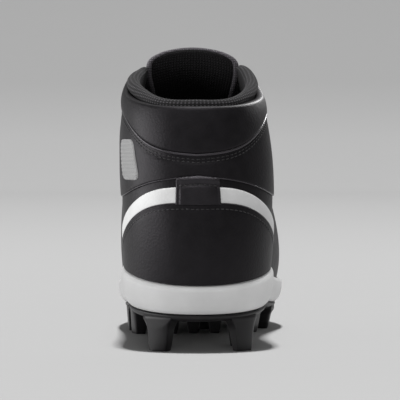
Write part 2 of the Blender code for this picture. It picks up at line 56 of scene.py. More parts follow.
# Sizes of the shoe, as in the part
LENGTH = 298.0
BALL_WIDTH = 95.5
INSTEP_HEIGHT = 149.0
WALL = 2.2
GAP = 0.3
PANEL_GAP = 0.35
PANEL_THICK = 1.1
UPPER_INSET = 3.0
RIM_INNER_INSET = 8.0
FOOTBED_INSET = 13.5
UNDERSIDE_INSET = 5.5
PLATE_THICK = 3.8
INSOLE_THICK = 4.0
TRIM_WIDTH = 7.6
TAB_HALF_WIDTH_U = 0.44
EYESTAY_WIDTH = 19.0
EYELET_INSET = 8.0
EYELET_PAIRS = 7
EYELET_FIRST_U = 8.05
EYELET_LAST_U = 4.35
TONGUE_THICK = 4.0
TONGUE_DROP = 4.0
LACE_WIDTH = 6.0
LACE_THICK = 1.4
LACE_CLEAR = 0.5
LACE_TUCK = 3.5

# Columns of the part from each section to the next, which its origin is measured on
PART_COLUMNS = 4

# How fine the meshes are
SHELL_COLUMNS = 16
SHELL_ROWS = 57
SHELL_EDGE_ROWS = 5
INSOLE_COLUMNS = 8
STRIP_PITCH = 1.7
LINE_POINTS = 240
EDGE_STEPS = np.array([0.0, 0.1, 0.3, 0.6, 1.0, 1.6])
FINE_T = np.linspace(0, 1, 201)
TONGUE_COLUMNS = 45
TONGUE_ROWS = 110
LACE_SIDES = 16
LACE_ROWS = 56
EYELET_SIDES = 24
RIM_SIDES = 8
STUD_SIDES = 40
STITCH_SIDES = 6

# How far each panel stands off the shell. Its edge sinks into the shell, its inner face lies deeper.
PANEL_TOP = PANEL_GAP + PANEL_THICK
COUNTER_STAND = PANEL_TOP + 0.25
TRIM_STAND = PANEL_TOP - 0.25
TAB_STAND = PANEL_GAP + 2.2
CUFF_STAND = PANEL_GAP + 1.5
ANKLE_STAND = 0.8
PATCH_STAND = ANKLE_STAND + 0.75
PANEL_SINK = -0.35
PANEL_INNER = -0.6
EDGE_ROUND = 0.9
TOP_T = 0.985
SHELL_FOOT = 1.2

# Seams, by their distance from an edge, and how far round they run. Each lies in a trough of the leather.
CUFF_SEAMS = (2.6, 4.2)
CUFF_SEAM_END_U = 3.35
COUNTER_SEAM = 3.3
COUNTER_SEAM_END_U = 2.55
TAB_SEAM = 4.2
TAB_SEAM_END_U = TAB_HALF_WIDTH_U - 0.06
EYESTAY_SEAMS = (2.0, 4.2)
EYESTAY_TOP_TROUGH = 2.4
EYESTAY_TOP_SEAM = 4.6
EYESTAY_SEAM_START_U = 3.82
TOE_CAP_SEAMS = (2.0, 4.2)
TOE_CAP_SEAM_REACH_U = 2.4
TROUGH_DEEP = 0.28
TROUGH_WIDE = 0.65
STITCH_PITCH = 2.6
STITCH_LONG = 1.9
STITCH_ROUND = 0.26
STITCH_SINK = 0.1

# A stitch, a row for each place along it: shares of its length, and of its radius for width and rise
Station = namedtuple("Station", "place wide rise")
STITCH_STATIONS = (
    Station(-0.5, 0.3, -0.25),
    Station(-0.36, 0.85, 0.0),
    Station(0.0, 1.0, 0.12),
    Station(0.36, 0.85, 0.0),
    Station(0.5, 0.3, -0.25),
)

# Beads along panel edges dip into the leather at their ends
BEAD_POINTS = 260
BEAD_SIDES = 8
BEAD_END_U = 0.06
BEAD_END_DIP = 0.9

# Where a panel turns over the top edge: how far it stands off the lining and over the edge
Turn = namedtuple("Turn", "inner up rows")
CUFF_TURN = Turn(0.5, 0.4, 9)
EYESTAY_TURN = Turn(0.4, 0.5, 7)

# One row for each section round the shoe. Along is a share of LENGTH from the heel, across a
# share of BALL_WIDTH, top_height a share of INSTEP_HEIGHT; the handles are millimetres.
Section = namedtuple(
    "Section",
    "name along across top_along top_across top_height low_out low_up high_out high_down",
)
SECTIONS = (
    Section("heel back", 0.000, 0.010, 0.032, 0.000, 0.859, 7.5, 38, 0, 32),
    Section("heel corner medial", 0.034, 0.283, 0.057, 0.215, 0.864, 6.0, 38, 4, 32),
    Section("heel medial", 0.134, 0.431, 0.138, 0.346, 0.890, 3.5, 36, 8.5, 30),
    Section("ankle medial", 0.268, 0.408, 0.238, 0.343, 0.938, 6.5, 34, 8.5, 32),
    Section("waist medial", 0.409, 0.387, 0.332, 0.275, 0.991, 7.5, 32, 16, 32),
    Section("forewaist medial", 0.554, 0.487, 0.416, 0.215, 0.859, 5.0, 28, 22, 20),
    Section("ball medial", 0.691, 0.562, 0.510, 0.173, 0.711, 6.0, 24, 26, 12),
    Section("toe joint medial", 0.826, 0.518, 0.604, 0.136, 0.567, 4.5, 23, 27, 6),
    Section("toe corner medial", 0.943, 0.375, 0.661, 0.099, 0.487, 3.0, 24, 38, 0),
    Section("toe tip", 1.000, 0.070, 0.681, 0.010, 0.463, 2.5, 24, 46, -1),
    Section("toe corner lateral", 0.940, -0.240, 0.661, -0.084, 0.487, 3.0, 24, 38, 0),
    Section("toe joint lateral", 0.815, -0.388, 0.604, -0.126, 0.567, 3.0, 23, 27, 6),
    Section("ball lateral", 0.681, -0.434, 0.510, -0.173, 0.711, 3.5, 24, 25, 12),
    Section("forewaist lateral", 0.537, -0.414, 0.416, -0.225, 0.859, 4.5, 28, 21, 20),
    Section("waist lateral", 0.396, -0.387, 0.330, -0.290, 0.991, 7.5, 32, 15, 32),
    Section("ankle lateral", 0.262, -0.393, 0.235, -0.376, 0.938, 5.0, 34, 6.5, 32),
    Section("heel lateral", 0.134, -0.408, 0.138, -0.350, 0.890, 1.5, 36, 7, 30),
    Section("heel corner lateral", 0.034, -0.262, 0.057, -0.220, 0.864, 5.0, 38, 4, 32),
)
AROUND = len(SECTIONS)
TOE_U = AROUND // 2

# Soft creases in the leather, the same on both sides: where they lie, how far they reach and lean,
# how wide and deep they are. A fold rises beside each.
Crease = namedtuple("Crease", "name u t u_reach lean wide deep")
CREASES = (
    Crease("toe break low", 6.95, 0.66, 0.95, 0.10, 0.035, 0.55),
    Crease("toe break high", 6.55, 0.74, 0.80, 0.12, 0.040, 0.60),
    Crease("ankle flex", 3.05, 0.66, 0.55, 0.16, 0.050, 0.55),
    Crease("quarter fold", 3.9, 0.42, 0.70, 0.10, 0.070, 0.60),
)
FOLD_AWAY = 1.9
FOLD_SHARE = 0.45

# Heights of the sole above the floor, a row for each place along it
Level = namedtuple("Level", "along underside rim footbed")
SOLE_LEVELS = (
    Level(0.00, 19.2, 34.4, 30.0),
    Level(0.13, 23.0, 41.5, 30.5),
    Level(0.34, 27.5, 45.0, 34.0),
    Level(0.50, 20.5, 36.5, 28.0),
    Level(0.64, 15.5, 29.5, 23.5),
    Level(0.80, 16.5, 30.5, 24.0),
    Level(0.91, 20.0, 34.0, 27.0),
    Level(1.00, 25.5, 38.0, 31.5),
)

# Rings of the sole's layers, from underside to top: the inset from the outline and the share of the height
Ring = namedtuple("Ring", "inset share")
FOAM_RINGS = (
    Ring(UNDERSIDE_INSET, 0.0),
    Ring(UNDERSIDE_INSET - 1.6, 0.02),
    Ring(2.6, 0.09),
    Ring(1.7, 0.18),
    Ring(0.8, 0.32),
    Ring(0.25, 0.48),
    Ring(0.0, 0.64),
    Ring(0.02, 0.78),
    Ring(0.06, 0.83),
    Ring(0.22, 0.865),
    Ring(0.6, 0.90),
    Ring(1.9, 0.975),
    Ring(2.3, 0.99),
    Ring(2.8, 1.0),
    Ring(RIM_INNER_INSET, 1.0),
)
PLATE_RINGS = (
    Ring(14.5, 0.24),
    Ring(13.4, 0.23),
    Ring(12.7, 0.18),
    Ring(12.1, 0.06),
    Ring(11.4, 0.01),
    Ring(10.4, 0.0),
    Ring(8.5, 0.0),
    Ring(7.4, 0.03),
    Ring(6.3, 0.11),
    Ring(5.3, 0.25),
    Ring(4.6, 0.44),
    Ring(4.1, 0.66),
    Ring(3.9, 0.84),
    Ring(4.2, 0.95),
    Ring(4.9, 1.0),
)
INSOLE_RINGS = (
    Ring(FOOTBED_INSET + 0.6, 0.0),
    Ring(FOOTBED_INSET, 0.25),
    Ring(FOOTBED_INSET - 0.2, 0.7),
    Ring(FOOTBED_INSET + 0.3, 0.92),
    Ring(FOOTBED_INSET + 1.2, 1.0),
    Ring(FOOTBED_INSET + 4.0, 1.02),
    Ring(FOOTBED_INSET + 9.0, 0.98),
)

# Heights of the panel edges above the floor, a row for each place round the heel
Edge = namedtuple("Edge", "u counter_top ankle_low cuff_low")
HEEL_EDGES = (
    Edge(0.0, 77.6, 91.4, 102.8),
    Edge(1.0, 75.3, 88.0, 107.5),
    Edge(2.0, 60.0, 81.0, 122.0),
    Edge(2.6, 50.0, 82.0, 128.0),
    Edge(3.6, 36.0, 100.0, 138.0),
)
COUNTER_END_U = 2.75
TRIM_END_U = 3.5
TRIM_TIP_T = 0.005
TRIM_TUCK_U = 0.06
TRIM_UNDER = 2.5
TRIM_PUFF = 0.35
CUFF_END_U = 3.66
ANKLE_END_U = 3.55
ANKLE_TUCK = 2.0
EYESTAY_START_U = 3.74

# The pull tab: how far it drops below the ankle panel's edge, the lip along its top and the groove
# down its sides
Fold = namedtuple("Fold", "high place wide fade")
TAB_DROP = 0.2
TAB_UNDER = 1.0
TAB_PUFF = 0.2
TAB_LIP = Fold(0.7, 1.3, 1.0, 2.0)
TAB_GROOVE = Fold(0.6, 1.9, 0.45, 2.5)

# Padding under the cuff: all round it, and more of it at the heel
CUFF_PUFF = 0.45
CUFF_HEEL_PUFF = 0.85
CUFF_HEEL_U = 1.3
PUFF_FADE = 12.0

# The padded roll of the collar, a row for each place from the heel forwards. Its middle lies inset
# from the top line and its crown stands over it, millimetres; it climbs onto the edge at the sides
# and lies a little lower on the lateral side.
Roll = namedtuple("Roll", "u inset stand half_width half_height lateral_drop")
COLLAR_ROLL = (
    Roll(0.00, 6.2, 3.6, 3.4, 3.2, 0.0),
    Roll(1.40, 6.2, 3.8, 3.4, 3.2, 0.0),
    Roll(2.10, 5.2, 5.4, 3.5, 3.3, 0.2),
    Roll(2.80, 3.4, 6.8, 3.6, 3.3, 0.8),
    Roll(3.30, 2.9, 5.6, 3.2, 2.8, 1.9),
    Roll(3.66, 2.2, 3.5, 2.6, 2.3, 1.9),
    Roll(3.95, 1.4, 2.6, 2.0, 1.8, 0.6),
    Roll(4.08, 1.2, 2.2, 1.7, 1.6, 0.2),
)
ROLL_END_U = 0.14
ROLL_END_SHARE = 0.15

# The roll's round in degrees, and what is added to it past ROLL_OVER_U, where it lies over the edge
ROLL_START = -10
ROLL_SWEEP = 210
ROLL_OVER_U = 1.4
ROLL_OVER_REACH = 1.2
ROLL_OVER_START = -70
ROLL_OVER_SWEEP = 60

# The padding below the roll, against the wall and inside the shoe
PAD_FOOT_T = 0.60
PAD_WALL_TOP_T = 0.94
PAD_INSIDE_TOP_T = 0.90
PAD_SINK = 0.3
PAD_LEAST = 0.2
PAD_FULL = 1.7
PAD_FADE_T = 0.58
PAD_FADE_REACH = 0.32

# Length of the toe cap up the wall, a row for each place from the toe tip backwards
CapEdge = namedtuple("CapEdge", "from_toe_u length")
TOE_CAP_EDGES = (CapEdge(0.0, 44.0), CapEdge(1.0, 38.0), CapEdge(1.8, 24.0), CapEdge(2.5, 15.0))
TOE_CAP_REACH_U = TOE_CAP_EDGES[-1].from_toe_u

# The tongue's outer face under the throat, a row for each place up it: the rise of its crown over
# the throat edges and its tuck under them, millimetres
Crown = namedtuple("Crown", "u rise tuck")
TONGUE_CROWNS = (
    Crown(8.70, -4.6, 5.0),
    Crown(8.00, -3.2, 5.0),
    Crown(7.00, -1.0, 4.5),
    Crown(6.00, 0.8, 3.0),
    Crown(5.00, 2.0, 1.0),
    Crown(4.25, 3.0, 0.0),
)

# The tongue over the collar, a row for each step: millimetres back and up, and the shares of its
# width and of its roundness that are left
TopStep = namedtuple("TopStep", "back up width round")
TONGUE_TOP = (
    TopStep(3.4, 5.2, 1.03, 0.93),
    TopStep(5.4, 9.2, 1.01, 0.78),
    TopStep(6.6, 11.9, 0.89, 0.60),
    TopStep(7.2, 13.5, 0.65, 0.35),
)
TONGUE_PUFF = 0.25
TONGUE_EDGE = 0.05
TONGUE_SQUARE = 6
CHANNEL_PLACE = 0.62
CHANNEL_WIDE = 0.05
CHANNEL_DEEP = 0.45
CHANNEL_FADE = 10.0

# The tape round the tongue, thinner at the top
BINDING_ROUND = 1.7
BINDING_TOP_SHARE = 0.62
BINDING_TOP = 2.0
BINDING_TOP_REACH = 8.0
BINDING_PITCH = 0.6
BINDING_SINK = 0.4
BINDING_SMOOTH = 9
BINDING_SIDES = 10

# The lace: where it comes out from under the throat edge, how it crosses the one under it, dives into
# eyelets and narrows there
LACE_PAST_U = 0.12
LACE_UNDER = TONGUE_DROP - 0.6
LACE_OVER = LACE_THICK + 0.15
LACE_BELOW = 0.1
LACE_EDGE_T = 0.995
LACE_NEAR = 0.8
LACE_SIDE_POWER = 0.55
LACE_FACE_POWER = 0.75
LACE_STATIONS = 13
CROSSING_SHARE = 0.42
CROSSING_WIDE = 0.17
DIVE = 3.6
PINCH = 0.42
PINCH_REACH = 7.0
UNDER_TUCK = 1.6
UNDER_TUCK_REACH = 2.5 * LACE_TUCK

# Eyelets: the rim's radius, the radius of its bead, which is flattened, and the hole's dark bottom, a dark
# disc that is painted shade in the hole
EYELET_ROUND = 2.7
EYELET_BEAD = 0.55
EYELET_FLAT = 0.8
EYELET_STAND = PANEL_TOP + 0.05
HOLE_LIP = 0.02
HOLE_DEEP = 0.35
HOLE_BACK = 0.6

# The studs. Along and across are millimetres, the turn is degrees, the tip is above the floor.
Stud = namedtuple("Stud", "name along across turn long wide tip")
STUDS = (
    Stud("heel rear medial", 17, 25.0, 25, 11.0, 7.5, 0),
    Stud("heel rear lateral", 17, -19.4, -25, 10.8, 7.5, 0),
    Stud("heel front medial", 55, 22.5, 80, 12.0, 6.5, 0),
    Stud("heel front lateral", 55, -20.0, -80, 12.0, 6.5, 0),
    Stud("arch lateral", 150, -30.0, -75, 11.0, 6.0, 0),
    Stud("ball lateral", 180, -33.0, -85, 12.0, 6.0, 0),
    Stud("toe joint lateral", 222, -28.5, 70, 13.0, 6.5, 0),
    Stud("toe lateral", 262, -14.0, 40, 12.0, 6.5, 4),
    Stud("arch medial", 160, 33.0, 70, 12.0, 6.5, 0),
    Stud("ball medial", 196, 42.0, 85, 13.0, 6.5, 0),
    Stud("toe joint medial", 233, 40.0, -75, 13.0, 6.5, 0),
    Stud("toe medial", 268, 24.0, -40, 12.0, 6.5, 4),
    Stud("arch nub lateral", 148, -11.0, 0, 5.5, 5.0, 0),
    Stud("arch nub centre", 151, 1.0, 0, 5.5, 5.0, 0),
    Stud("arch nub medial", 152, 13.0, 0, 5.5, 5.0, 0),
    Stud("ball centre", 188, 5.0, 0, 12.0, 7.0, 0),
    Stud("toe joint centre", 226, 6.0, 0, 12.0, 7.0, 0),
)
STUD_FLARE = 4.5
STUD_FILLET = 1.8
STUD_FILLET_START = 0.6
STUD_CORNER = 0.3
STUD_SINK = 0.2
STUD_ROOT = 2.4
STUD_EDGE_INSET = 5.2
STUD_EDGE_DRAFT = 0.8
STUD_SIDE_SHARES = (0.2, 0.35, 0.5)

# A stud's soft tip: the share of its height and how far its side lies out
StudLevel = namedtuple("StudLevel", "share grow")
STUD_TIP = (
    StudLevel(0.0, -1.0),
    StudLevel(0.0, -0.5),
    StudLevel(0.012, -0.22),
    StudLevel(0.04, -0.04),
    StudLevel(0.08, 0.04),
)

# The plain patch on the lateral ankle
PATCH_U = -1.74
PATCH_HALF_U = 0.34
PATCH_LEAN_U = 0.16
PATCH_HEIGHT = 100.0
PATCH_HALF_HEIGHT = 11.0
PATCH_RIBS = 11
PATCH_RIB_HIGH = 0.16
PATCH_CORNER = 5
PATCH_EDGE = 0.35
PATCH_RIB_EDGE = 0.4
PATCH_COLUMNS = 33
PATCH_ROWS = 41

# The lean of every dark grey, and metres between the bands of a wave texture with scale 1
DARK_TINT = (1.0, 0.93, 1.03)
BAND_SPACING = 0.314

# The studio paper: its grey at metres along the floor and up the backdrop, a painted gradient of light and
# shade
Paper = namedtuple("Paper", "run grey")
PAPER_PAINTED_LIGHT = (
    Paper(-0.4, 0.40),
    Paper(0.85, 0.435),
    Paper(1.94, 0.455),
    Paper(3.4, 0.505),
    Paper(3.75, 0.468),
    Paper(4.0, 0.402),
    Paper(4.4, 0.40),
)
FLOOR_REACH = 8.0
SWEEP_START = 3.3
SWEEP_ROUND = 0.8

# The softboxes, in metres and watts. Each lights the groups of pieces it names alone, or all but them.
Softbox = namedtuple("Softbox", "name place target wide high power reach groups")
SOFTBOXES = (
    Softbox("key", (-1.15, -0.15, 0.24), (0.0, -0.1, 0.08), 1.6, 0.5, 11.0, "EXCLUDE", ["floor", "foam"]),
    Softbox("foam_key", (-1.15, -0.15, 0.24), (0.0, -0.1, 0.03), 1.6, 0.5, 6.0, "INCLUDE", ["foam"]),
    Softbox("foam_fill", (1.15, -0.6, 0.24), (0.0, -0.1, 0.03), 1.0, 0.5, 2.0, "INCLUDE", ["foam"]),
    Softbox("front", (-0.25, -1.5, 1.7), (0.0, -0.1, 0.05), 1.2, 1.0, 8.0, "EXCLUDE", ["floor"]),
    Softbox("rim", (0.65, 1.05, 1.25), (0.0, -0.05, 0.1), 0.4, 0.4, 8.0, "EXCLUDE", ["floor"]),
    Softbox("overhead", (0.0, -0.1, 2.2), (0.0, -0.1, 0.0), 1.0, 1.0, 34.0, "EXCLUDE", ["floor"]),
    Softbox("cuff_light", (0.7, 1.0, 0.85), (0.0, -0.08, 0.13), 0.5, 0.5, 13.0, "INCLUDE", ["cuff"]),
    Softbox("floor_light", (0.0, -0.05, 6.0), (0.0, -0.05, 0.0), 0.45, 0.45, 448.0, "INCLUDE", ["floor"]),
    Softbox("floor_fill", (0.0, -1.6, 0.3), (0.0, 0.0, 0.0), 0.8, 0.3, 6.5, "INCLUDE", ["floor"]),
)
AMBIENT = 0.20

# The camera behind the heel, at the photograph's height and turn
CAMERA_PLACE = (-0.0397, -1.7487, 0.1216)
CAMERA_TARGET = (-0.0047, -0.1487, 0.0795)
CAMERA_LENS = 278.4
CAMERA_SENSOR = 36.0
CAMERA_REACH = 50.0


# Curves and small sums


def open_spline(places, values):
    """The smooth curve through values at rising places, as a function of place."""
    x, y = np.asarray(places, float), np.asarray(values, float)
    h, slope = np.diff(x), np.diff(y) / np.diff(x)
    matrix, right = np.zeros((len(x), len(x))), np.zeros(len(x))
    matrix[0, :2], right[0] = (2, 1), 3 * slope[0]
    matrix[-1, -2:], right[-1] = (1, 2), 3 * slope[-1]
    for i in range(1, len(x) - 1):
        matrix[i, i - 1 : i + 2] = h[i], 2 * (h[i - 1] + h[i]), h[i - 1]
        right[i] = 3 * (h[i] * slope[i - 1] + h[i - 1] * slope[i])
    tangent = np.linalg.solve(matrix, right)

    def at(place):
        place = np.clip(place, x[0], x[-1])
        i = np.clip(np.searchsorted(x, place, side="right") - 1, 0, len(h) - 1)
        f = (place - x[i]) / h[i]
        start, end = tangent[i] * h[i], tangent[i + 1] * h[i]
        bend = (1 - f) * start - f * end + (2 * f - 1) * (y[i + 1] - y[i])
        return y[i] + f * (y[i + 1] - y[i]) + f * (1 - f) * bend

    return at


def closed_spline(values):
    """The smooth closed curve through values one unit of u apart, as a function of u."""
    rows = np.asarray(values, float)
    count = len(rows)
    near = np.eye(count)
    matrix = 4 * near + np.roll(near, 1, axis=0) + np.roll(near, -1, axis=0)
    tangent = np.linalg.solve(matrix, 3 * (np.roll(rows, -1) - np.roll(rows, 1)))

    def at(u):
        u = np.asarray(u, float)
        i = np.floor(u).astype(int)
        f = u - i
        i, k = i % count, (i + 1) % count
        bend = (1 - f) * tangent[i] - f * tangent[k] + (2 * f - 1) * (rows[k] - rows[i])
        return rows[i] + f * (rows[k] - rows[i]) + f * (1 - f) * bend

    return at


def table_curve(table, place, column, size=1.0):
    """One column of a table as a function of its place column, which size scales."""
    places = [getattr(row, place) * size for row in table]
    return open_spline(places, [getattr(row, column) for row in table])


def unit(vectors):
    """Vectors with length one."""
    return vectors / np.maximum(np.linalg.norm(vectors, axis=-1, keepdims=True), 1e-9)


def square_to(vectors, ahead):
    """Vectors with length one, turned square to the directions ahead."""
    return unit(vectors - ahead * np.sum(vectors * ahead, axis=1, keepdims=True))


def path_run(points):
    """The distance along a path at each of its points."""
    steps = np.linalg.norm(np.diff(points, axis=0), axis=1)
    return np.concatenate([[0.0], np.cumsum(steps)])


def along_path(run, values, places):
    """Values given at distances along a path, at other distances along it."""
    return np.stack([np.interp(places, run, values[:, axis]) for axis in range(3)], axis=-1)


def smooth_step(value):
    """Zero below 0, one above 1 and smooth between."""
    value = np.clip(value, 0, 1)
    return value * value * (3 - 2 * value)


def ridge(away, place, wide):
    """A soft ridge of height one across a distance."""
    return np.exp(-(((away - place) / wide) ** 2))


def rounded(away, radius=EDGE_ROUND):
    """The share of its thickness that a rounded edge has at a distance from it."""
    return np.sqrt(1 - (1 - np.clip(away / radius, 0, 1)) ** 2)


def squared(value, power):
    """A sine or cosine pushed out towards the corners of a square."""
    return np.sign(value) * np.abs(value) ** power


def turns(count):
    """Angles that divide a full turn."""
    return np.arange(count) * 2 * math.pi / count


# The shoe's surfaces


def section_curve(column, size=1.0):
    """One column of SECTIONS as a function of u."""
    return closed_spline([getattr(row, column) * size for row in SECTIONS])


def heel_edge(column):
    """One column of HEEL_EDGES as a function of u, the same on both sides of the heel."""
    curve = table_curve(HEEL_EDGES, "u", column)
    return lambda u: curve(np.abs(u))


outline_along = section_curve("along", LENGTH)
outline_across = section_curve("across", BALL_WIDTH)
top_along = section_curve("top_along", LENGTH)
top_across = section_curve("top_across", BALL_WIDTH)
top_height = section_curve("top_height", INSTEP_HEIGHT)
low_out = section_curve("low_out")
low_up = section_curve("low_up")
high_out = section_curve("high_out")
high_down = section_curve("high_down")
underside = table_curve(SOLE_LEVELS, "along", "underside", LENGTH)
rim = table_curve(SOLE_LEVELS, "along", "rim", LENGTH)
footbed = table_curve(SOLE_LEVELS, "along", "footbed", LENGTH)
counter_top = heel_edge("counter_top")
ankle_low = heel_edge("ankle_low")
cuff_low = heel_edge("cuff_low")


def columns_round(count):
    """Places all round the shoe, count of them from each section to the next."""
    return np.arange(AROUND * count) / count


def outward(u):
    """The level direction out of the sole's outline at u."""
    step = 0.01
    dx = outline_across(u + step) - outline_across(u - step)
    dy = outline_along(u + step) - outline_along(u - step)
    size = np.hypot(dx, dy)
    return np.stack([dy / size, -dx / size, np.zeros_like(dx)], axis=-1)


def inset_ring(u, inset, height, lift=0.0):
    """The sole's outline moved in by inset, at the height that a function of along gives."""
    out = outward(u)
    x, y = outline_across(u) - inset * out[..., 0], outline_along(u) - inset * out[..., 1]
    return np.stack([x, y, height(y) + lift], axis=-1)


def wall_point(u, t):
    """The upper's outer surface at u and t: a curve from the sole's rim to the top line."""
    u, t = np.broadcast_arrays(np.asarray(u, float), np.asarray(t, float))
    out = outward(u)
    base = inset_ring(u, UPPER_INSET, rim, GAP)
    top = np.stack([top_across(u), top_along(u), top_height(u)], axis=-1)
    low = base + out * low_out(u)[..., None] + UP * low_up(u)[..., None]
    high = top + out * high_out(u)[..., None] - UP * high_down(u)[..., None]
    t = t[..., None]
    return (1 - t) ** 3 * base + 3 * (1 - t) ** 2 * t * low + 3 * (1 - t) * t**2 * high + t**3 * top


def wall_normal(u, t):
    """The direction out of the upper's wall."""
    step = 0.004
    t = np.clip(t, step, 1 - step)
    across = wall_point(u + step, t) - wall_point(u - step, t)
    climb = wall_point(u, t + step) - wall_point(u, t - step)
    return unit(np.cross(across, climb))


def wall_frame(u, t):
    """Point, outward direction and climbing direction of the wall."""
    step = 0.004
    climb = wall_point(u, np.minimum(t + step, 1)) - wall_point(u, np.maximum(t - step, 0))
    return wall_point(u, t), wall_normal(u, t), unit(climb)


def lifted(u, t, lift):
    """A point of the wall moved out by lift."""
    u, t = np.broadcast_arrays(np.asarray(u, float), np.asarray(t, float))
    return wall_point(u, t) + wall_normal(u, t) * np.broadcast_to(lift, u.shape)[..., None]


def creases(u, t):
    """How far the soft creases move the leather out at u and t."""
    lift = np.zeros(u.shape)
    for row, side in product(CREASES, SIDES):
        away = (side * u - row.u + TOE_U) % AROUND - TOE_U
        fade = np.clip(1 - (away / row.u_reach) ** 2, 0, 1) ** 2
        off = (t - row.t - row.lean * away) / row.wide
        lift -= row.deep * fade * (ridge(off, 0, 1) - FOLD_SHARE * ridge(off, FOLD_AWAY, 1))
    return lift


def on_wall(u, t, lift):
    """A point of the creased wall moved out by lift."""
    u, t = np.broadcast_arrays(np.asarray(u, float), np.asarray(t, float))
    return lifted(u, t, lift + creases(u, t))


def t_at_height(u, height):
    """Where the wall at u reaches a height above the floor."""
    return np.array([np.interp(h, wall_point(v, FINE_T)[:, 2], FINE_T) for v, h in zip(u, height)])


def t_at_length(u, length, from_top=False):
    """Where the wall at u is a length away from the sole, or from the top line."""
    found = []
    for v, wanted in zip(u, np.broadcast_to(length, len(u))):
        run = path_run(wall_point(v, FINE_T))
        found.append(np.interp(run[-1] - wanted if from_top else wanted, run, FINE_T))
    return np.array(found)


def origin():
    """The point of the shoe that becomes the origin: the middle of its plan, on the floor."""
    u = columns_round(PART_COLUMNS)
    x, y = outline_across(u), outline_along(u)
    counter = lifted(0.0, np.linspace(0, 1, 101), PANEL_TOP)
    back = counter[counter[:, 2] < counter_top(0.0), 1].min()
    return np.array([(x.min() + x.max()) / 2, (back + y.max()) / 2, 0.0])


ORIGIN = origin()


# Meshes


def mesh_piece(name, points, faces, looks, nodes=(), face_looks=None):
    """A smooth piece from points in millimetres of the shoe, which may stand for CAD nodes."""
    mesh = bpy.data.meshes.new(name)
    placed = (np.asarray(points, float).reshape(-1, 3) - ORIGIN) * MM
    mesh.from_pydata(placed.tolist(), [], faces)
    piece = bpy.data.objects.new(name, mesh)
    bpy.context.scene.collection.objects.link(piece)
    for look in looks:
        mesh.materials.append(look)
    mesh.shade_smooth()
    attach(piece, "root")
    if nodes:
        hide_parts(*nodes)
    if face_looks is not None:
        mesh.polygons.foreach_set("material_index", np.asarray(face_looks, np.int32))
    return piece


def grid_faces(rows, columns, around=False, around_rows=False):
    """Quads over rows of points. Around joins the last column to the first, around_rows the rows."""
    j = np.arange(rows if around_rows else rows - 1)[:, None]
    i = np.arange(columns if around else columns - 1)[None, :]
    j2, i2 = (j + 1) % rows, (i + 1) % columns
    corners = [j * columns + i, j * columns + i2, j2 * columns + i2, j2 * columns + i]
    quads = np.stack(np.broadcast_arrays(*corners), axis=-1)
    return [tuple(quad) for quad in quads.reshape(-1, 4).tolist()]


def capped_faces(rows, columns):
    """Faces of a closed tube through rows of points."""
    last = (rows - 1) * columns
    caps = [tuple(range(columns))[::-1], tuple(range(last, last + columns))]
    return grid_faces(rows, columns, around=True) + caps


def fill_across(first, count, upward):
    """Quads across a ring of points, from one side to the other."""
    faces = []
    for i in range(count // 2):
        corners = [i, i + 1, count - i - 1, (count - i) % count]
        face = [first + c for n, c in enumerate(corners) if c not in corners[:n]]
        faces.append(tuple(face if upward else face[::-1]))
    return faces


def ring_shape(rings):
    """Points and faces of a closed solid through rings of points, filled across both ends."""
    count = len(rings[0])
    faces = grid_faces(len(rings), count, around=True)
    faces += fill_across(0, count, upward=False)
    faces += fill_across((len(rings) - 1) * count, count, upward=True)
    return np.concatenate(rings), faces


def closed_sheet(outer, inner):
    """Points and faces of a sheet: its outer face, its inner face and the edge between them."""
    rows, columns = outer.shape[:2]
    size = rows * columns
    front = grid_faces(rows, columns)
    back = [tuple(size + corner for corner in face[::-1]) for face in front]
    number = np.arange(size).reshape(rows, columns)
    edge = np.concatenate([number[0], number[1:, -1], number[-1, -2::-1], number[-2:0:-1, 0]]).tolist()
    sides = [(b, a, size + a, size + b) for a, b in zip(edge, edge[1:] + edge[:1])]
    return np.concatenate([outer.reshape(-1, 3), inner.reshape(-1, 3)]), front + back + sides


def tube(path, normals, radius, sides):
    """Points and faces of a tube along a path."""
    ahead = unit(np.gradient(path, axis=0))
    up = square_to(normals, ahead)
    side = np.cross(up, ahead)
    radius = np.broadcast_to(radius, len(path))[:, None]
    lines = [path + radius * (side * math.cos(turn) + up * math.sin(turn)) for turn in turns(sides)]
    return np.stack(lines, axis=1).reshape(-1, 3), capped_faces(len(path), sides)


def join_shapes(shapes):
    """Points and faces of several shapes as one."""
    points, faces, first = [], [], 0
    for more_points, more_faces in shapes:
        points.append(more_points)
        faces += [tuple(corner + first for corner in face) for face in more_faces]
        first += len(more_points)
    return np.concatenate(points), faces


def add_weave(piece, grid):
    """A map in metres over a grid of quads, for weaves and knits. Its faces come first in the mesh."""
    columns = grid.shape[1]
    closed = np.concatenate([grid, grid[:, :1]], axis=1)
    across = np.linalg.norm(np.diff(closed, axis=1), axis=2).mean(axis=0)
    along = np.linalg.norm(np.diff(grid, axis=0), axis=2).mean(axis=1)
    x = np.concatenate([[0], np.cumsum(across)]) * MM
    y = np.concatenate([[0], np.cumsum(along)]) * MM
    layer = piece.data.uv_layers.new(name="weave")
    values = np.zeros((len(piece.data.loops), 2))
    for face in piece.data.polygons:
        places = [divmod(corner, columns) for corner in face.vertices]
        wraps = max(i for _, i in places) - min(i for _, i in places) > columns // 2
        for loop, (j, i) in zip(face.loop_indices, places):
            i = i + columns if wraps and i < columns // 2 else i
            values[loop] = x[min(i, columns)], y[j]
    layer.uv.foreach_set("vector", values.ravel())


# Leather panels


def height_edge(edge, offset=0.0):
    """An edge given by its height above the floor, as t for each u."""
    return lambda u: t_at_height(u, edge(u) + offset)


def level_edge(t):
    """An edge at the same t everywhere."""
    return lambda u: np.full(len(u), t)


def spread(length, middle):
    """Distances from 0 to each length, close together near both ends."""
    edge = EDGE_STEPS[:, None] * np.minimum(1.0, length / (3 * EDGE_STEPS[-1]))
    share = np.linspace(0, 1, middle + 2)[1:-1, None]
    inner = edge[-1] + share * (length - 2 * edge[-1])
    return np.concatenate([edge, inner, length - edge[::-1]])


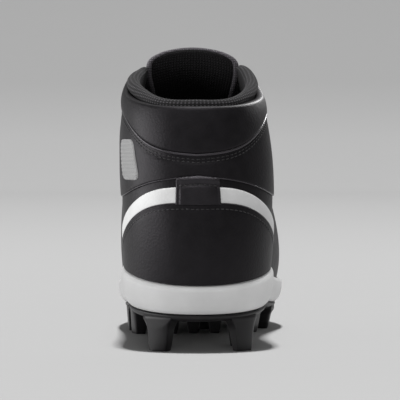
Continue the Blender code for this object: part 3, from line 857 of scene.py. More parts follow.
# A grid over the wall: its places and how far each lies from the strip's lower edge, upper edge and ends
Strip = namedtuple("Strip", "u t low high ends")


def lay_strip(start, end, low, high, rows, pitch=STRIP_PITCH):
    """A grid over the wall between two edges, close at its own edges."""
    fine = np.linspace(start, end, LINE_POINTS)
    run = path_run(wall_point(fine, (low(fine) + high(fine)) / 2))
    away = spread(run[-1:], int(run[-1] / pitch))[:, 0]
    u = np.interp(away, run, fine)
    t_low, t_high = low(u), high(u)
    share = np.linspace(0, 1, 25)[:, None]
    steps = np.diff(wall_point(u, t_low + share * (t_high - t_low)), axis=0)
    length = np.linalg.norm(steps, axis=2).sum(axis=0)
    up = spread(length, rows)
    t = t_low + (t_high - t_low) * up / length
    ends = np.broadcast_to(np.minimum(away, run[-1] - away), up.shape)
    return Strip(np.broadcast_to(u, up.shape), t, up, length - up, ends)


def strip_lift(strip, stand, free, puff=0.0, low_seams=(), high_seams=()):
    """How far a panel stands off the wall: rounded free edges, padding and stitched troughs."""
    share = np.ones(strip.u.shape)
    for edge in free:
        share = share * rounded(getattr(strip, edge))
    up = strip.low / (strip.low + strip.high)
    lift = PANEL_SINK + (stand - PANEL_SINK) * share
    lift = lift + puff * np.sin(math.pi * up) ** 0.7 * smooth_step(strip.ends / PUFF_FADE)
    for away, seams in ((strip.low, low_seams), (strip.high, high_seams)):
        for seam in seams:
            lift = lift - TROUGH_DEEP * ridge(away, seam, TROUGH_WIDE)
    return lift


def over_edge(u, t, out, inner, up, count):
    """Rows that round over the wall's top edge, off its outer face, its inner face and the edge."""
    point, normal, climb = wall_frame(u, t)
    middle = point - normal * WALL / 2
    rows = []
    for turn in np.linspace(0, math.pi, count + 2)[1:-1]:
        stand = out if turn < math.pi / 2 else inner
        wide = WALL / 2 + np.broadcast_to(stand, u.shape)[:, None]
        rows.append(middle + normal * wide * math.cos(turn) + climb * (WALL / 2 + up) * math.sin(turn))
    return np.array(rows)


def panel_piece(node, strip, lift, look, turn=None):
    """A panel over a strip of the wall, its inner face inside the shell. It may turn over the top edge."""
    outer = on_wall(strip.u, strip.t, lift)
    inner = on_wall(strip.u, strip.t, PANEL_INNER)
    if turn is not None:
        edge = strip.u[-1], strip.t[-1]
        outer = np.concatenate([outer, over_edge(*edge, lift[-1], turn.inner, turn.up, turn.rows)])
        inner = np.concatenate([inner, over_edge(*edge, PANEL_INNER, PANEL_INNER, PANEL_INNER, turn.rows)])
    points, faces = closed_sheet(outer, inner)
    return mesh_piece(node + "_leather", points, faces, [look], [node])


def build_upper(leather, lining):
    """The shell: creased outer face, rounded top edge and lining, closed along its foot."""
    u = columns_round(SHELL_COLUMNS)
    t = np.linspace(0, TOP_T, SHELL_ROWS)[:, None]
    outer = on_wall(u, t, 0.0)
    edge = over_edge(u, np.full(len(u), TOP_T), 0.0, 0.0, 0.0, SHELL_EDGE_ROWS)
    inner = lifted(u, t, -WALL)[::-1]
    rows = np.concatenate([outer[:1] - UP * SHELL_FOOT, outer, edge, inner, inner[-1:] - UP * SHELL_FOOT])
    faces = grid_faces(len(rows), len(u), around=True, around_rows=True)
    lined = np.repeat(np.arange(len(rows)) > SHELL_ROWS + SHELL_EDGE_ROWS // 2 + 1, len(u))
    mesh_piece("upper_shell", rows, faces, [leather, lining], ["upper"], lined)


def build_counter(leather):
    """The heel counter, over the lower end of the white edging."""
    strip = lay_strip(-COUNTER_END_U, COUNTER_END_U, level_edge(0.0), height_edge(counter_top), rows=26)
    lift = strip_lift(strip, COUNTER_STAND, ("high", "ends"), high_seams=(COUNTER_SEAM,))
    panel_piece("heel_counter", strip, lift, leather)


def build_trims(white):
    """The plain white edging on both sides of the heel."""
    low, top = height_edge(counter_top, -TRIM_UNDER), height_edge(counter_top, 2 * GAP + TRIM_WIDTH)

    def high(u):
        return np.maximum(top(u), low(u) + TRIM_TIP_T)

    for side, node in zip(SIDES, ("heel_trim_medial", "heel_trim_lateral")):
        start, end = sorted((side * (TAB_HALF_WIDTH_U - TRIM_TUCK_U), side * TRIM_END_U))
        strip = lay_strip(start, end, low, high, rows=8)
        lift = strip_lift(strip, TRIM_STAND, ("high", "ends"), TRIM_PUFF)
        panel_piece(node, strip, lift, white)


def build_tab(leather):
    """The pull tab: a thick folded band with a raised lip along its top and a groove down its sides."""
    low, high = height_edge(counter_top, -TAB_UNDER), height_edge(ankle_low, -TAB_DROP)
    strip = lay_strip(-TAB_HALF_WIDTH_U, TAB_HALF_WIDTH_U, low, high, rows=12, pitch=0.7)
    lip = TAB_LIP.high * ridge(strip.high, TAB_LIP.place, TAB_LIP.wide)
    lip = lip * rounded(strip.ends, TAB_LIP.fade)
    groove = TAB_GROOVE.high * ridge(strip.ends, TAB_GROOVE.place, TAB_GROOVE.wide)
    groove = groove * smooth_step(strip.high / TAB_GROOVE.fade)
    lift = strip_lift(strip, TAB_STAND, ("high", "ends"), TAB_PUFF, high_seams=(TAB_SEAM,))
    panel_piece("heel_tab", strip, lift + lip - groove, leather)


def build_ankle(leather):
    """The ankle panel, which runs under the cuff."""
    low, high = height_edge(ankle_low), height_edge(cuff_low, ANKLE_TUCK)
    strip = lay_strip(-ANKLE_END_U, ANKLE_END_U, low, high, rows=16)
    seams = [ANKLE_TUCK + drop for drop in CUFF_SEAMS]
    lift = strip_lift(strip, ANKLE_STAND, ("low", "ends"), high_seams=seams)
    panel_piece("ankle_panel", strip, lift, leather)


def build_cuff(leather):
    """The padded cuff, rolled over the top edge of the collar."""
    strip = lay_strip(-CUFF_END_U, CUFF_END_U, height_edge(cuff_low), level_edge(TOP_T), rows=22)
    puff = CUFF_PUFF + CUFF_HEEL_PUFF * ridge(strip.u, 0, CUFF_HEEL_U)
    lift = strip_lift(strip, CUFF_STAND, ("low", "ends"), puff)
    return panel_piece("collar_cuff", strip, lift, leather, turn=CUFF_TURN)


def eyestay_low(u):
    """The eyestay's lower edge, as t for each u."""
    return t_at_length(u, EYESTAY_WIDTH, from_top=True)


def build_eyestay(leather):
    """The panel round the throat, in one piece from collar to collar, turned over the throat edge."""
    end = AROUND - EYESTAY_START_U
    strip = lay_strip(EYESTAY_START_U, end, eyestay_low, level_edge(TOP_T), rows=12)
    troughs = (EYESTAY_TOP_TROUGH,)
    lift = strip_lift(strip, PANEL_TOP, ("low", "ends"), low_seams=EYESTAY_SEAMS, high_seams=troughs)
    panel_piece("eyestay", strip, lift, leather, turn=EYESTAY_TURN)


def toe_cap_length(u):
    """How far up the wall the toe cap reaches at u."""
    return table_curve(TOE_CAP_EDGES, "from_toe_u", "length")(np.abs(u - TOE_U))


def toe_cap_high(u):
    """The toe cap's upper edge, as t for each u."""
    return t_at_length(u, toe_cap_length(u))


def build_toe_cap(leather):
    """The panel round the toe."""
    start, end = TOE_U - TOE_CAP_REACH_U, TOE_U + TOE_CAP_REACH_U
    strip = lay_strip(start, end, level_edge(0.0), toe_cap_high, rows=20)
    lift = strip_lift(strip, PANEL_TOP, ("high", "ends"), high_seams=TOE_CAP_SEAMS)
    panel_piece("toe_cap", strip, lift, leather)


def build_patch(look):
    """A plain ribbed oblong sewn on the lateral ankle."""
    across, up = np.meshgrid(np.linspace(-1, 1, PATCH_COLUMNS), np.linspace(-1, 1, PATCH_ROWS))
    height = PATCH_HEIGHT + PATCH_HALF_HEIGHT * up
    u = PATCH_U + PATCH_HALF_U * across - PATCH_LEAN_U * up
    t = np.array([t_at_height(row_u, row_height) for row_u, row_height in zip(u, height)])
    inside = 1 - (np.abs(across) ** PATCH_CORNER + np.abs(up) ** PATCH_CORNER)
    ribs = PATCH_RIB_HIGH * np.cos(up * math.pi * PATCH_RIBS)
    lift = PANEL_SINK + (PATCH_STAND - PANEL_SINK) * rounded(np.clip(inside, 0, 1), PATCH_EDGE)
    lift = lift + ribs * smooth_step(inside / PATCH_RIB_EDGE)
    points, faces = closed_sheet(on_wall(u, t, lift), on_wall(u, t, PANEL_INNER))
    mesh_piece("ankle_patch", points, faces, [look])


# Piping and stitching


# A bead along a panel's edge: the edge, where it ends, its offset and radius and how far it stands off
Bead = namedtuple("Bead", "edge end offset radius stand")


def build_piping(look):
    """The piping under the cuff, and beads along the edges of ankle panel, counter and tab, in a leather
    lighter than the panels': a painted highlight along these edges.
    """
    beads = (
        Bead(cuff_low, CUFF_END_U, -0.4, 0.7, ANKLE_STAND + 0.35),
        Bead(ankle_low, ANKLE_END_U, 0.1, 0.3, ANKLE_STAND - 0.3),
        Bead(counter_top, COUNTER_END_U - 0.05, -0.35, 0.32, PANEL_TOP + 0.1),
        Bead(ankle_low, TAB_HALF_WIDTH_U - 0.03, -0.75, 0.36, TAB_STAND + 0.35),
    )
    shapes = []
    for bead in beads:
        u = np.linspace(-bead.end, bead.end, BEAD_POINTS)
        t = t_at_height(u, bead.edge(u) + bead.offset)
        dip = BEAD_END_DIP * (1 - rounded(bead.end - np.abs(u), BEAD_END_U))
        shapes.append(tube(on_wall(u, t, bead.stand - dip), wall_normal(u, t), bead.radius, BEAD_SIDES))
    points, faces = join_shapes(shapes)
    return mesh_piece("seam_piping", points, faces, [look])


def stitch_row(u, t, lift):
    """A row of single stitches along a line on the wall."""
    line, normals = on_wall(u, t, lift), wall_normal(u, t)
    run = path_run(line)
    count = max(int(run[-1] / STITCH_PITCH), 1)
    places = (np.arange(count) + 0.5) * run[-1] / count
    middle = along_path(run, line, places)
    ahead = unit(along_path(run, line, places + 0.4) - along_path(run, line, places - 0.4))
    up = square_to(along_path(run, normals, places), ahead)
    side = np.cross(up, ahead)
    points = []
    for station in STITCH_STATIONS:
        for turn in turns(STITCH_SIDES):
            out = STITCH_ROUND * (station.wide * math.sin(turn) + station.rise)
            over = STITCH_ROUND * station.wide * math.cos(turn)
            points.append(middle + ahead * station.place * STITCH_LONG + up * out + side * over)
    faces = capped_faces(len(STITCH_STATIONS), STITCH_SIDES)
    return join_shapes([(stitch, faces) for stitch in np.stack(points, axis=1)])


def between(start, end):
    """Close places from start to end round the shoe."""
    return np.linspace(start, end, int(abs(end - start) * 40) + 2)


def build_stitching(thread):
    """Every row of stitches, in one piece."""
    shapes = []
    u = between(-CUFF_SEAM_END_U, CUFF_SEAM_END_U)
    for drop in CUFF_SEAMS:
        shapes.append(stitch_row(u, t_at_height(u, cuff_low(u) - drop), ANKLE_STAND - STITCH_SINK))
    u = between(-COUNTER_SEAM_END_U, COUNTER_SEAM_END_U)
    shapes.append(stitch_row(u, t_at_height(u, counter_top(u) - COUNTER_SEAM), COUNTER_STAND - STITCH_SINK))
    u = between(-TAB_SEAM_END_U, TAB_SEAM_END_U)
    t = t_at_height(u, ankle_low(u) - TAB_DROP - TAB_SEAM)
    shapes.append(stitch_row(u, t, TAB_STAND - STITCH_SINK / 2))
    u = between(EYESTAY_SEAM_START_U, AROUND - EYESTAY_SEAM_START_U)
    for length in (*(EYESTAY_WIDTH - seam for seam in EYESTAY_SEAMS), EYESTAY_TOP_SEAM):
        shapes.append(stitch_row(u, t_at_length(u, length, from_top=True), PANEL_TOP - STITCH_SINK))
    u = between(TOE_U - TOE_CAP_SEAM_REACH_U, TOE_U + TOE_CAP_SEAM_REACH_U)
    for seam in TOE_CAP_SEAMS:
        shapes.append(stitch_row(u, t_at_length(u, toe_cap_length(u) - seam), PANEL_TOP - STITCH_SINK))
    points, faces = join_shapes(shapes)
    mesh_piece("stitching", points, faces, [thread])


# Collar padding and tongue


def collar_roll_size(column, u):
    """One column of COLLAR_ROLL at u, the same on both sides of the heel."""
    return table_curve(COLLAR_ROLL, "u", column)(np.abs(u))


def build_collar_padding(textile):
    """The padded lining: a roll along the top of the collar that thins out down inside it."""
    end = COLLAR_ROLL[-1].u
    u = np.linspace(end, -end, LINE_POINTS)
    out = outward(u)
    full_high = collar_roll_size("half_height", u)
    closing = ROLL_END_SHARE + (1 - ROLL_END_SHARE) * rounded(end - np.abs(u), ROLL_END_U)
    wide, high = collar_roll_size("half_width", u) * closing, full_high * closing
    rise = collar_roll_size("stand", u) - full_high - (u < 0) * collar_roll_size("lateral_drop", u)
    centre = wall_point(u, 1.0) - out * collar_roll_size("inset", u)[:, None] + UP * rise[:, None]
    over = smooth_step((np.abs(u) - ROLL_OVER_U) / ROLL_OVER_REACH)
    start, sweep = ROLL_START + ROLL_OVER_START * over, ROLL_SWEEP + ROLL_OVER_SWEEP * over
    columns = [lifted(u, t, PAD_SINK - WALL) for t in np.linspace(PAD_FOOT_T, PAD_WALL_TOP_T, 9)]
    for share in np.linspace(0, 1, 21):
        turn = np.radians(start + share * sweep)
        columns.append(centre + out * (wide * np.cos(turn))[:, None] + UP * (high * np.sin(turn))[:, None])
    for t in np.linspace(PAD_INSIDE_TOP_T, PAD_FOOT_T, 10):
        fade = smooth_step((t - PAD_FADE_T) / PAD_FADE_REACH) ** 0.8
        pad = PAD_LEAST + (PAD_FULL * wide - 2 * PAD_LEAST) * fade
        columns.append(lifted(u, t, -WALL - pad))
    grid = np.stack(columns, axis=1)
    faces = capped_faces(*grid.shape[:2])
    piece = mesh_piece("collar_padding", grid, faces, [textile], ["collar_roll"])
    add_weave(piece, grid)


def throat_frame(u):
    """Middle and half width of the throat at u, with its directions across and out."""
    ends = wall_point(np.array([u, AROUND - u]), 1.0)
    further = wall_point(np.array([u - 0.1, AROUND - u + 0.1]), 1.0)
    across = unit(ends[0] - ends[1])
    along = further.mean(axis=0) - ends.mean(axis=0)
    along = unit(along - across * (along @ across))
    return ends.mean(axis=0), np.linalg.norm(ends[0] - ends[1]) / 2, across, np.cross(along, across)


def tongue_row(u, columns):
    """Points across the tongue's outer face at u: a crown that falls away under both edges."""
    rise = table_curve(TONGUE_CROWNS, "u", "rise", -1.0)(-u)
    tuck = table_curve(TONGUE_CROWNS, "u", "tuck", -1.0)(-u)
    middle, half_width, across, out = throat_frame(u)
    sideways = np.linspace(1, -1, columns) * (half_width + tuck)
    fall = max(rise + TONGUE_DROP, 0.0) * (sideways / half_width) ** 2
    return middle + np.outer(sideways, across) + np.outer(rise - fall, out)


def tongue_rows(count, columns):
    """Rows of the tongue's outer face, from its foot up to the collar."""
    return [tongue_row(u, columns) for u in np.linspace(TONGUE_CROWNS[0].u, TONGUE_CROWNS[-1].u, count)]


def tongue_sheet():
    """The tongue's middle surface as a smooth grid, with its outward directions."""
    held = tongue_rows(11, TONGUE_COLUMNS)
    last = held[-1]
    crown = last[TONGUE_COLUMNS // 2]
    for step in TONGUE_TOP:
        narrowed = crown + (last - crown) * np.array([step.width, step.round, step.round])
        held.append(narrowed + np.array([0, -step.back, step.up]))
    held = np.array(held)
    run = path_run(held[:, TONGUE_COLUMNS // 2])
    places = run[-1] * (1 - np.linspace(1, 0, TONGUE_ROWS) ** 1.5)
    sheet = np.empty((TONGUE_ROWS, TONGUE_COLUMNS, 3))
    for i in range(TONGUE_COLUMNS):
        for axis in range(3):
            sheet[:, i, axis] = open_spline(run, held[:, i, axis])(places)
    normal = unit(np.cross(np.gradient(sheet, axis=1), np.gradient(sheet, axis=0)))
    return sheet - normal * TONGUE_THICK / 2, normal


def build_tongue(textile):
    """The padded tongue, with a stitched channel along each side."""
    middle, normal = tongue_sheet()
    sideways = np.abs(np.linspace(-1, 1, TONGUE_COLUMNS))[None, :]
    run = path_run(middle[:, TONGUE_COLUMNS // 2])
    from_top = (run[-1] - run)[:, None]
    share = np.sqrt(np.clip(1 - sideways**TONGUE_SQUARE, TONGUE_EDGE, 1))
    share = share * rounded(from_top + TONGUE_EDGE, TONGUE_THICK / 2)
    thick = (TONGUE_THICK / 2 + TONGUE_PUFF) * share
    channels = CHANNEL_DEEP * ridge(sideways, CHANNEL_PLACE, CHANNEL_WIDE)
    channels = channels * smooth_step(from_top / CHANNEL_FADE)
    outer = middle + normal * (thick - channels)[..., None]
    inner = middle - normal * thick[..., None]
    rings = np.concatenate([outer, inner[:, ::-1]], axis=1)
    points, faces = ring_shape(rings)
    piece = mesh_piece("tongue_padding", points, faces, [textile], ["tongue"])
    add_weave(piece, rings)


def tongue_edge(grid):
    """A tongue grid's values just inside its edge: up one side, over the top and down the other."""
    first, last = len(grid) // 3, len(grid) - 4
    return np.concatenate([grid[first:last, 1], grid[last, 2:-2], grid[first:last, -2][::-1]])


def build_binding(textile):
    """The tape that binds the tongue's side edges and its top, where it is thinner."""
    middle, normal = tongue_sheet()
    edge = tongue_edge(middle)
    run = path_run(edge)
    places = np.arange(0, run[-1], BINDING_PITCH)
    out = unit(along_path(run, tongue_edge(normal), places))
    path = along_path(run, edge, places) - out * BINDING_SINK
    margin = BINDING_SMOOTH // 2
    for axis in range(3):
        smooth = np.convolve(path[:, axis], np.ones(BINDING_SMOOTH) / BINDING_SMOOTH, "valid")
        path[margin:-margin, axis] = smooth
    below = path[:, 2].max() - path[:, 2]
    full = smooth_step((below - BINDING_TOP) / BINDING_TOP_REACH)
    share = BINDING_TOP_SHARE + (1 - BINDING_TOP_SHARE) * full
    points, faces = tube(path, out, BINDING_ROUND * share, BINDING_SIDES)
    mesh_piece("tongue_binding", points, faces, [textile])


# Eyelets and lace


def eyelet_u(number):
    """Where an eyelet pair lies round the shoe, on the medial side. Number 0 is next to the toe."""
    return EYELET_FIRST_U + (EYELET_LAST_U - EYELET_FIRST_U) * number / (EYELET_PAIRS - 1)


def eyelet_place(number, side):
    """The u and t of an eyelet. Side is 1 for medial, -1 for lateral."""
    u = np.array([eyelet_u(number) if side > 0 else AROUND - eyelet_u(number)])
    return u, t_at_length(u, EYELET_INSET, from_top=True)


def build_eyelets(look, dark):
    """A raised rim for each eyelet, and a dark disc sunk in its hole as painted shade."""
    rims, holes = [], []
    turn, bend = turns(EYELET_SIDES), -turns(RIM_SIDES)
    wide = EYELET_ROUND + EYELET_BEAD * np.cos(bend)
    rise = EYELET_FLAT * EYELET_BEAD * np.sin(bend)
    ring_faces = grid_faces(EYELET_SIDES, RIM_SIDES, around=True, around_rows=True)
    fan = [(i, (i + 1) % EYELET_SIDES, EYELET_SIDES) for i in range(EYELET_SIDES)]
    fan += [(b, a, EYELET_SIDES + 1) for a, b, _ in fan]
    for number, side in product(range(EYELET_PAIRS), SIDES):
        point, normal, climb = (value[0] for value in wall_frame(*eyelet_place(number, side)))
        across = np.cross(climb, normal)
        middle = point + normal * EYELET_STAND
        spoke = np.outer(np.cos(turn), across) + np.outer(np.sin(turn), climb)
        ring = middle + spoke[:, None] * wide[None, :, None] + normal * rise[None, :, None]
        rims.append((ring.reshape(-1, 3), ring_faces))
        # A shallow dark disc fills the hole: painted shade.
        lip = middle + spoke * EYELET_ROUND - normal * HOLE_LIP
        bottom = [middle - normal * HOLE_DEEP, middle - normal * HOLE_BACK]
        holes.append((np.concatenate([lip, bottom]), fan))
    points, faces = join_shapes(rims)
    mesh_piece("eyelet_rims", points, faces, [look])
    points, faces = join_shapes(holes)
    mesh_piece("eyelet_hole_shades", points, faces, [dark])


def lace_eyelet(number, side):
    """Where a lace goes into an eyelet, on the eyestay's outer face."""
    return lifted(*eyelet_place(number, side), PANEL_TOP)[0]


def lace_start(number, side):
    """Where a lace comes out from under the throat edge, a little past an eyelet."""
    middle, half_width, across, out = throat_frame(eyelet_u(number) - LACE_PAST_U)
    return middle + across * side * (half_width + LACE_TUCK) - out * LACE_UNDER


def lace_ground(sides):
    """Points that a lace lies over: the tongue, and the eyestay on the sides where it is on top."""
    ground = tongue_rows(90, 41)
    for side in sides:
        u = np.linspace(EYESTAY_START_U, TOE_U, 200)
        u = u if side > 0 else AROUND - u
        low = eyestay_low(u)
        t = low + np.linspace(0, 1, 20)[:, None] * (LACE_EDGE_T - low)
        ground.append(lifted(u, t, PANEL_TOP).reshape(-1, 3))
    return np.concatenate(ground)


def taut(heights):
    """The heights of a cord pulled tight over bumps of these heights."""
    pulled = heights.copy()
    for i in range(len(heights)):
        for k in range(i + 2, len(heights)):
            line = np.linspace(heights[i], heights[k], k - i + 1)
            pulled[i : k + 1] = np.maximum(pulled[i : k + 1], line)
    return pulled


def lace_heights(start, along, length, up, ground):
    """The height of a lace pulled tight over the ground, as a function of the distance from its start."""
    near = ground - start
    near = near[np.abs(near @ np.cross(up, along)) < LACE_WIDTH / 2 + LACE_NEAR]
    run, height = near @ along, near @ up
    places = np.linspace(0, length, LACE_STATIONS)
    reach = 0.75 * length / (LACE_STATIONS - 1)
    bumps = [height[np.abs(run - place) < reach].max(initial=-1.0) for place in places]
    return open_spline(places, taut(np.array(bumps)) + LACE_CLEAR + LACE_THICK / 2)


def lace_shape(start, end, out, ground, over, start_dives):
    """A flat lace from start into the eyelet at its end. Over lifts it where it crosses another."""
    length = np.linalg.norm(end - start)
    along = (end - start) / length
    up = unit(out - along * (out @ along))
    side = np.cross(up, along)
    share = np.linspace(0, 1, LACE_ROWS)
    from_start, from_end = share * length, (1 - share) * length
    lift = lace_heights(start, along, length, up, ground)(from_start)
    lift = lift + over * ridge(share, CROSSING_SHARE, CROSSING_WIDE)
    lift = lift - DIVE * (1 - smooth_step(from_end / DIVE))
    pinch = 1 - PINCH * (1 - smooth_step(from_end / PINCH_REACH))
    if start_dives:
        lift = lift - DIVE * (1 - smooth_step(from_start / DIVE))
        pinch = pinch - PINCH * (1 - smooth_step(from_start / PINCH_REACH))
    else:
        lift = lift - UNDER_TUCK * (1 - smooth_step(from_start / UNDER_TUCK_REACH))
    path = start + np.outer(from_start, along) + np.outer(lift, up)
    ahead = unit(np.gradient(path, axis=0))
    rise = unit(up - ahead * (ahead @ up)[:, None])
    lines = []
    for turn in turns(LACE_SIDES):
        wide = squared(math.cos(turn), LACE_SIDE_POWER) * LACE_WIDTH / 2
        thick = squared(math.sin(turn), LACE_FACE_POWER) * LACE_THICK / 2
        lines.append(path + np.outer(pinch * wide, side) + rise * (thick / pinch)[:, None])
    return np.stack(lines, axis=1).reshape(-1, 3), capped_faces(LACE_ROWS, LACE_SIDES)


def build_laces(look):
    """The flat lace: a bar over the lowest eyelets, and a cross from each pair to the next."""
    out = throat_frame(eyelet_u(0))[3]
    ends = lace_eyelet(0, 1), lace_eyelet(0, -1)
    shapes = [lace_shape(*ends, out, lace_ground(SIDES), 0.0, start_dives=True)]
    grounds = {side: lace_ground([side]) for side in SIDES}
    for number in range(EYELET_PAIRS - 1):
        out = throat_frame((eyelet_u(number) + eyelet_u(number + 1)) / 2)[3]
        for side in SIDES:
            over = LACE_BELOW if side == (-1) ** number else LACE_OVER
            ends = lace_start(number, side), lace_eyelet(number + 1, -side)
            shapes.append(lace_shape(*ends, out, grounds[-side], over, start_dives=False))
    points, faces = join_shapes(shapes)
    nodes = ["lace_bar"] + [f"lace_cross_{n + 1}" for n in range(EYELET_PAIRS - 1)]
    piece = mesh_piece("lace", points, faces, [look], nodes)
    weave = piece.data.uv_layers.new(name="weave")
    corner = np.empty(len(piece.data.loops), np.int32)
    piece.data.loops.foreach_get("vertex_index", corner)
    across = np.cos(turns(LACE_SIDES)) * LACE_WIDTH / 2
    values = np.stack([across[corner % LACE_SIDES], (corner // LACE_SIDES) * 1.0], axis=1) * MM
    weave.uv.foreach_set("vector", values.ravel())


# Sole


def build_midsole(foam, lining):
    """The foam cup, with a rounded lip along the top of its side wall and a lined inside."""
    u = columns_round(SHELL_COLUMNS)

    def side(share):
        return lambda y: underside(y) + share * (rim(y) - underside(y))

    rings = [inset_ring(u, ring.inset, side(ring.share)) for ring in FOAM_RINGS]
    rings.append(inset_ring(u, FOOTBED_INSET, footbed))
    points, faces = ring_shape(rings)
    lined = np.zeros((len(rings) - 1, len(u)), int)
    lined[-2:] = 1
    lined = np.concatenate([lined.ravel(), np.repeat([0, 1], len(u) // 2)])
    return mesh_piece("midsole_foam", points, faces, [foam, lining], ["midsole"], lined)


def build_insole(textile):
    """The footbed that lies in the cup."""
    u = columns_round(INSOLE_COLUMNS)
    rings = [inset_ring(u, ring.inset, footbed, GAP + ring.share * INSOLE_THICK) for ring in INSOLE_RINGS]
    points, faces = ring_shape(rings)
    mesh_piece("insole_textile", points, faces, [textile], ["insole"])


def keep_inside(points, inset):
    """Moves points that lie outside the sole's outline, less an inset, back onto it."""
    u = columns_round(40)
    ring = inset_ring(u, inset, underside)[:, :2]
    out = outward(u)[:, :2]
    nearest = np.argmin(np.linalg.norm(points[:, None, :2] - ring[None], axis=2), axis=1)
    past = np.sum((points[:, :2] - ring[nearest]) * out[nearest], axis=1)
    moved = points.copy()
    moved[:, :2] -= out[nearest] * np.maximum(past, 0)[:, None]
    return moved


def stud_levels():
    """Heights up a stud as shares, and how far its side lies out there: a soft tip, a flare and a fillet."""
    levels = list(STUD_TIP)
    for share in (*STUD_SIDE_SHARES, *np.linspace(STUD_FILLET_START, 1.0, 10)):
        fillet = STUD_FILLET * max(0.0, (share - STUD_FILLET_START) / (1 - STUD_FILLET_START)) ** 2.4
        levels.append(StudLevel(share, STUD_FLARE / 2 * share + fillet))
    return levels


def stud_shape(row):
    """A stud: a drafted block with rounded corners, a soft tip and a fillet into the plate."""
    root = float(underside(np.array(row.along))) - GAP - PLATE_THICK + STUD_SINK
    side_x = squared(np.cos(turns(STUD_SIDES)), STUD_CORNER)
    side_y = squared(np.sin(turns(STUD_SIDES)), STUD_CORNER)
    turn = math.radians(row.turn)
    rings = []
    for level in stud_levels():
        x = side_x * (row.long / 2 + level.grow)
        y = side_y * (row.wide / 2 + level.grow)
        across = row.across + x * math.cos(turn) - y * math.sin(turn)
        along = row.along + x * math.sin(turn) + y * math.cos(turn)
        height = np.full(STUD_SIDES, row.tip + level.share * (root - row.tip))
        ring = np.stack([across, along, height], axis=-1)
        rings.append(keep_inside(ring, STUD_EDGE_INSET - STUD_EDGE_DRAFT * level.share))
    return ring_shape(rings + [rings[-1] + UP * STUD_ROOT])


def build_outsole(look):
    """The moulded plate, with a shallow recess inside its border, and its studs."""
    u = columns_round(SHELL_COLUMNS)

    def side(share):
        return lambda y: underside(y) - GAP - PLATE_THICK * (1 - share)

    plate = ring_shape([inset_ring(u, ring.inset, side(ring.share)) for ring in PLATE_RINGS])
    points, faces = join_shapes([plate] + [stud_shape(row) for row in STUDS])
    mesh_piece("outsole_moulded", points, faces, [look], ["outsole"])


# Materials


def dark_tone(level):
    """A dark grey that leans a little to violet."""
    return tuple(level * part for part in DARK_TINT)


def pale_tone(level):
    """A neutral grey."""
    return (level, level, level)


def fill_sockets(tree, node, sockets):
    """Sets a node's sockets. A value is a number, a colour or another node's output."""
    for name, value in sockets.items():
        socket = node.inputs[name.replace("_", " ")]
        if isinstance(value, bpy.types.NodeSocket):
            tree.links.new(value, socket)
        else:
            socket.default_value = value


def add(tree, kind, **sockets):
    """Adds a shader node."""
    made = tree.nodes.new(kind)
    fill_sockets(tree, made, sockets)
    return made


def new_look(name):
    """A material with its tree of nodes."""
    made = bpy.data.materials.new(name)
    made.use_nodes = True
    return made, made.node_tree


def dress(tree, **sockets):
    """Sets the sockets of a material's shader."""
    fill_sockets(tree, tree.nodes["Principled BSDF"], sockets)


def object_place(tree):
    """The place on the object, in metres."""
    return tree.nodes.new("ShaderNodeTexCoord").outputs["Object"]


def weave_place(tree):
    """The place on the piece's weave map, in metres."""
    made = tree.nodes.new("ShaderNodeUVMap")
    made.uv_map = "weave"
    return made.outputs["UV"]


def noise(tree, place, scale, detail=3.0):
    """A noise from 0 to 1."""
    return add(tree, "ShaderNodeTexNoise", Vector=place, Scale=scale, Detail=detail).outputs[0]


def bands(tree, place, pitch, direction, distortion=0.0):
    """Soft parallel bands from 0 to 1, a pitch in metres apart."""
    made = add(tree, "ShaderNodeTexWave", Vector=place, Scale=BAND_SPACING / pitch, Distortion=distortion)
    made.bands_direction = direction
    return made.outputs["Fac"]


def combine(tree, operation, one, two):
    """Two values joined by a maths operation."""
    made = tree.nodes.new("ShaderNodeMath")
    made.operation = operation
    tree.links.new(one, made.inputs[0])
    tree.links.new(two, made.inputs[1])
    return made.outputs[0]


def ramp(tree, value, dark, light, low=0.3, high=0.7):
    """A colour between two for a value."""
    made = add(tree, "ShaderNodeValToRGB", Fac=value)
    for stop, position, colour in zip(made.color_ramp.elements, (low, high), (dark, light)):
        stop.position = position
        stop.color = (*colour, 1.0)
    return made.outputs["Color"]


def scaled(tree, value, low, high):
    """A value from 0 to 1 stretched between two numbers."""
    return add(tree, "ShaderNodeMapRange", Value=value, To_Min=low, To_Max=high).outputs["Result"]


def bump(tree, height, strength, distance, **over):
    """A bump of a distance in metres, over another one where its normal is given."""
    made = add(tree, "ShaderNodeBump", Height=height, Strength=strength, Distance=distance, **over)
    return made.outputs["Normal"]


def leather_look(name, dark, light, rough, grain=1.0, shine=0.2):
    """Grained leather: pebbles, pores and a slow waviness, with uneven shine."""
    made, tree = new_look(name)
    place = object_place(tree)
    pebbles = tree.nodes.new("ShaderNodeTexVoronoi")
    pebbles.feature = "SMOOTH_F1"
    fill_sockets(tree, pebbles, {"Vector": place, "Scale": 820.0, "Smoothness": 0.4})
    patches = noise(tree, place, scale=150.0, detail=4.0)
    pores = noise(tree, place, scale=2600.0)
    waves = noise(tree, place, scale=46.0)
    normal = bump(tree, pores, strength=0.3 * grain, distance=0.00012)
    normal = bump(tree, pebbles.outputs["Distance"], strength=0.42 * grain, distance=0.0002, Normal=normal)
    normal = bump(tree, waves, strength=0.04, distance=0.0012, Normal=normal)
    tint = (*(part / max(light) for part in light), 1.0)
    dress(tree, Coat_Weight=0.05, Coat_Roughness=0.3, Specular_IOR_Level=shine, Specular_Tint=tint)
    uneven = scaled(tree, patches, rough - 0.07, rough + 0.09)
    dress(tree, Base_Color=ramp(tree, patches, dark, light), Roughness=uneven, Normal=normal)
    return made


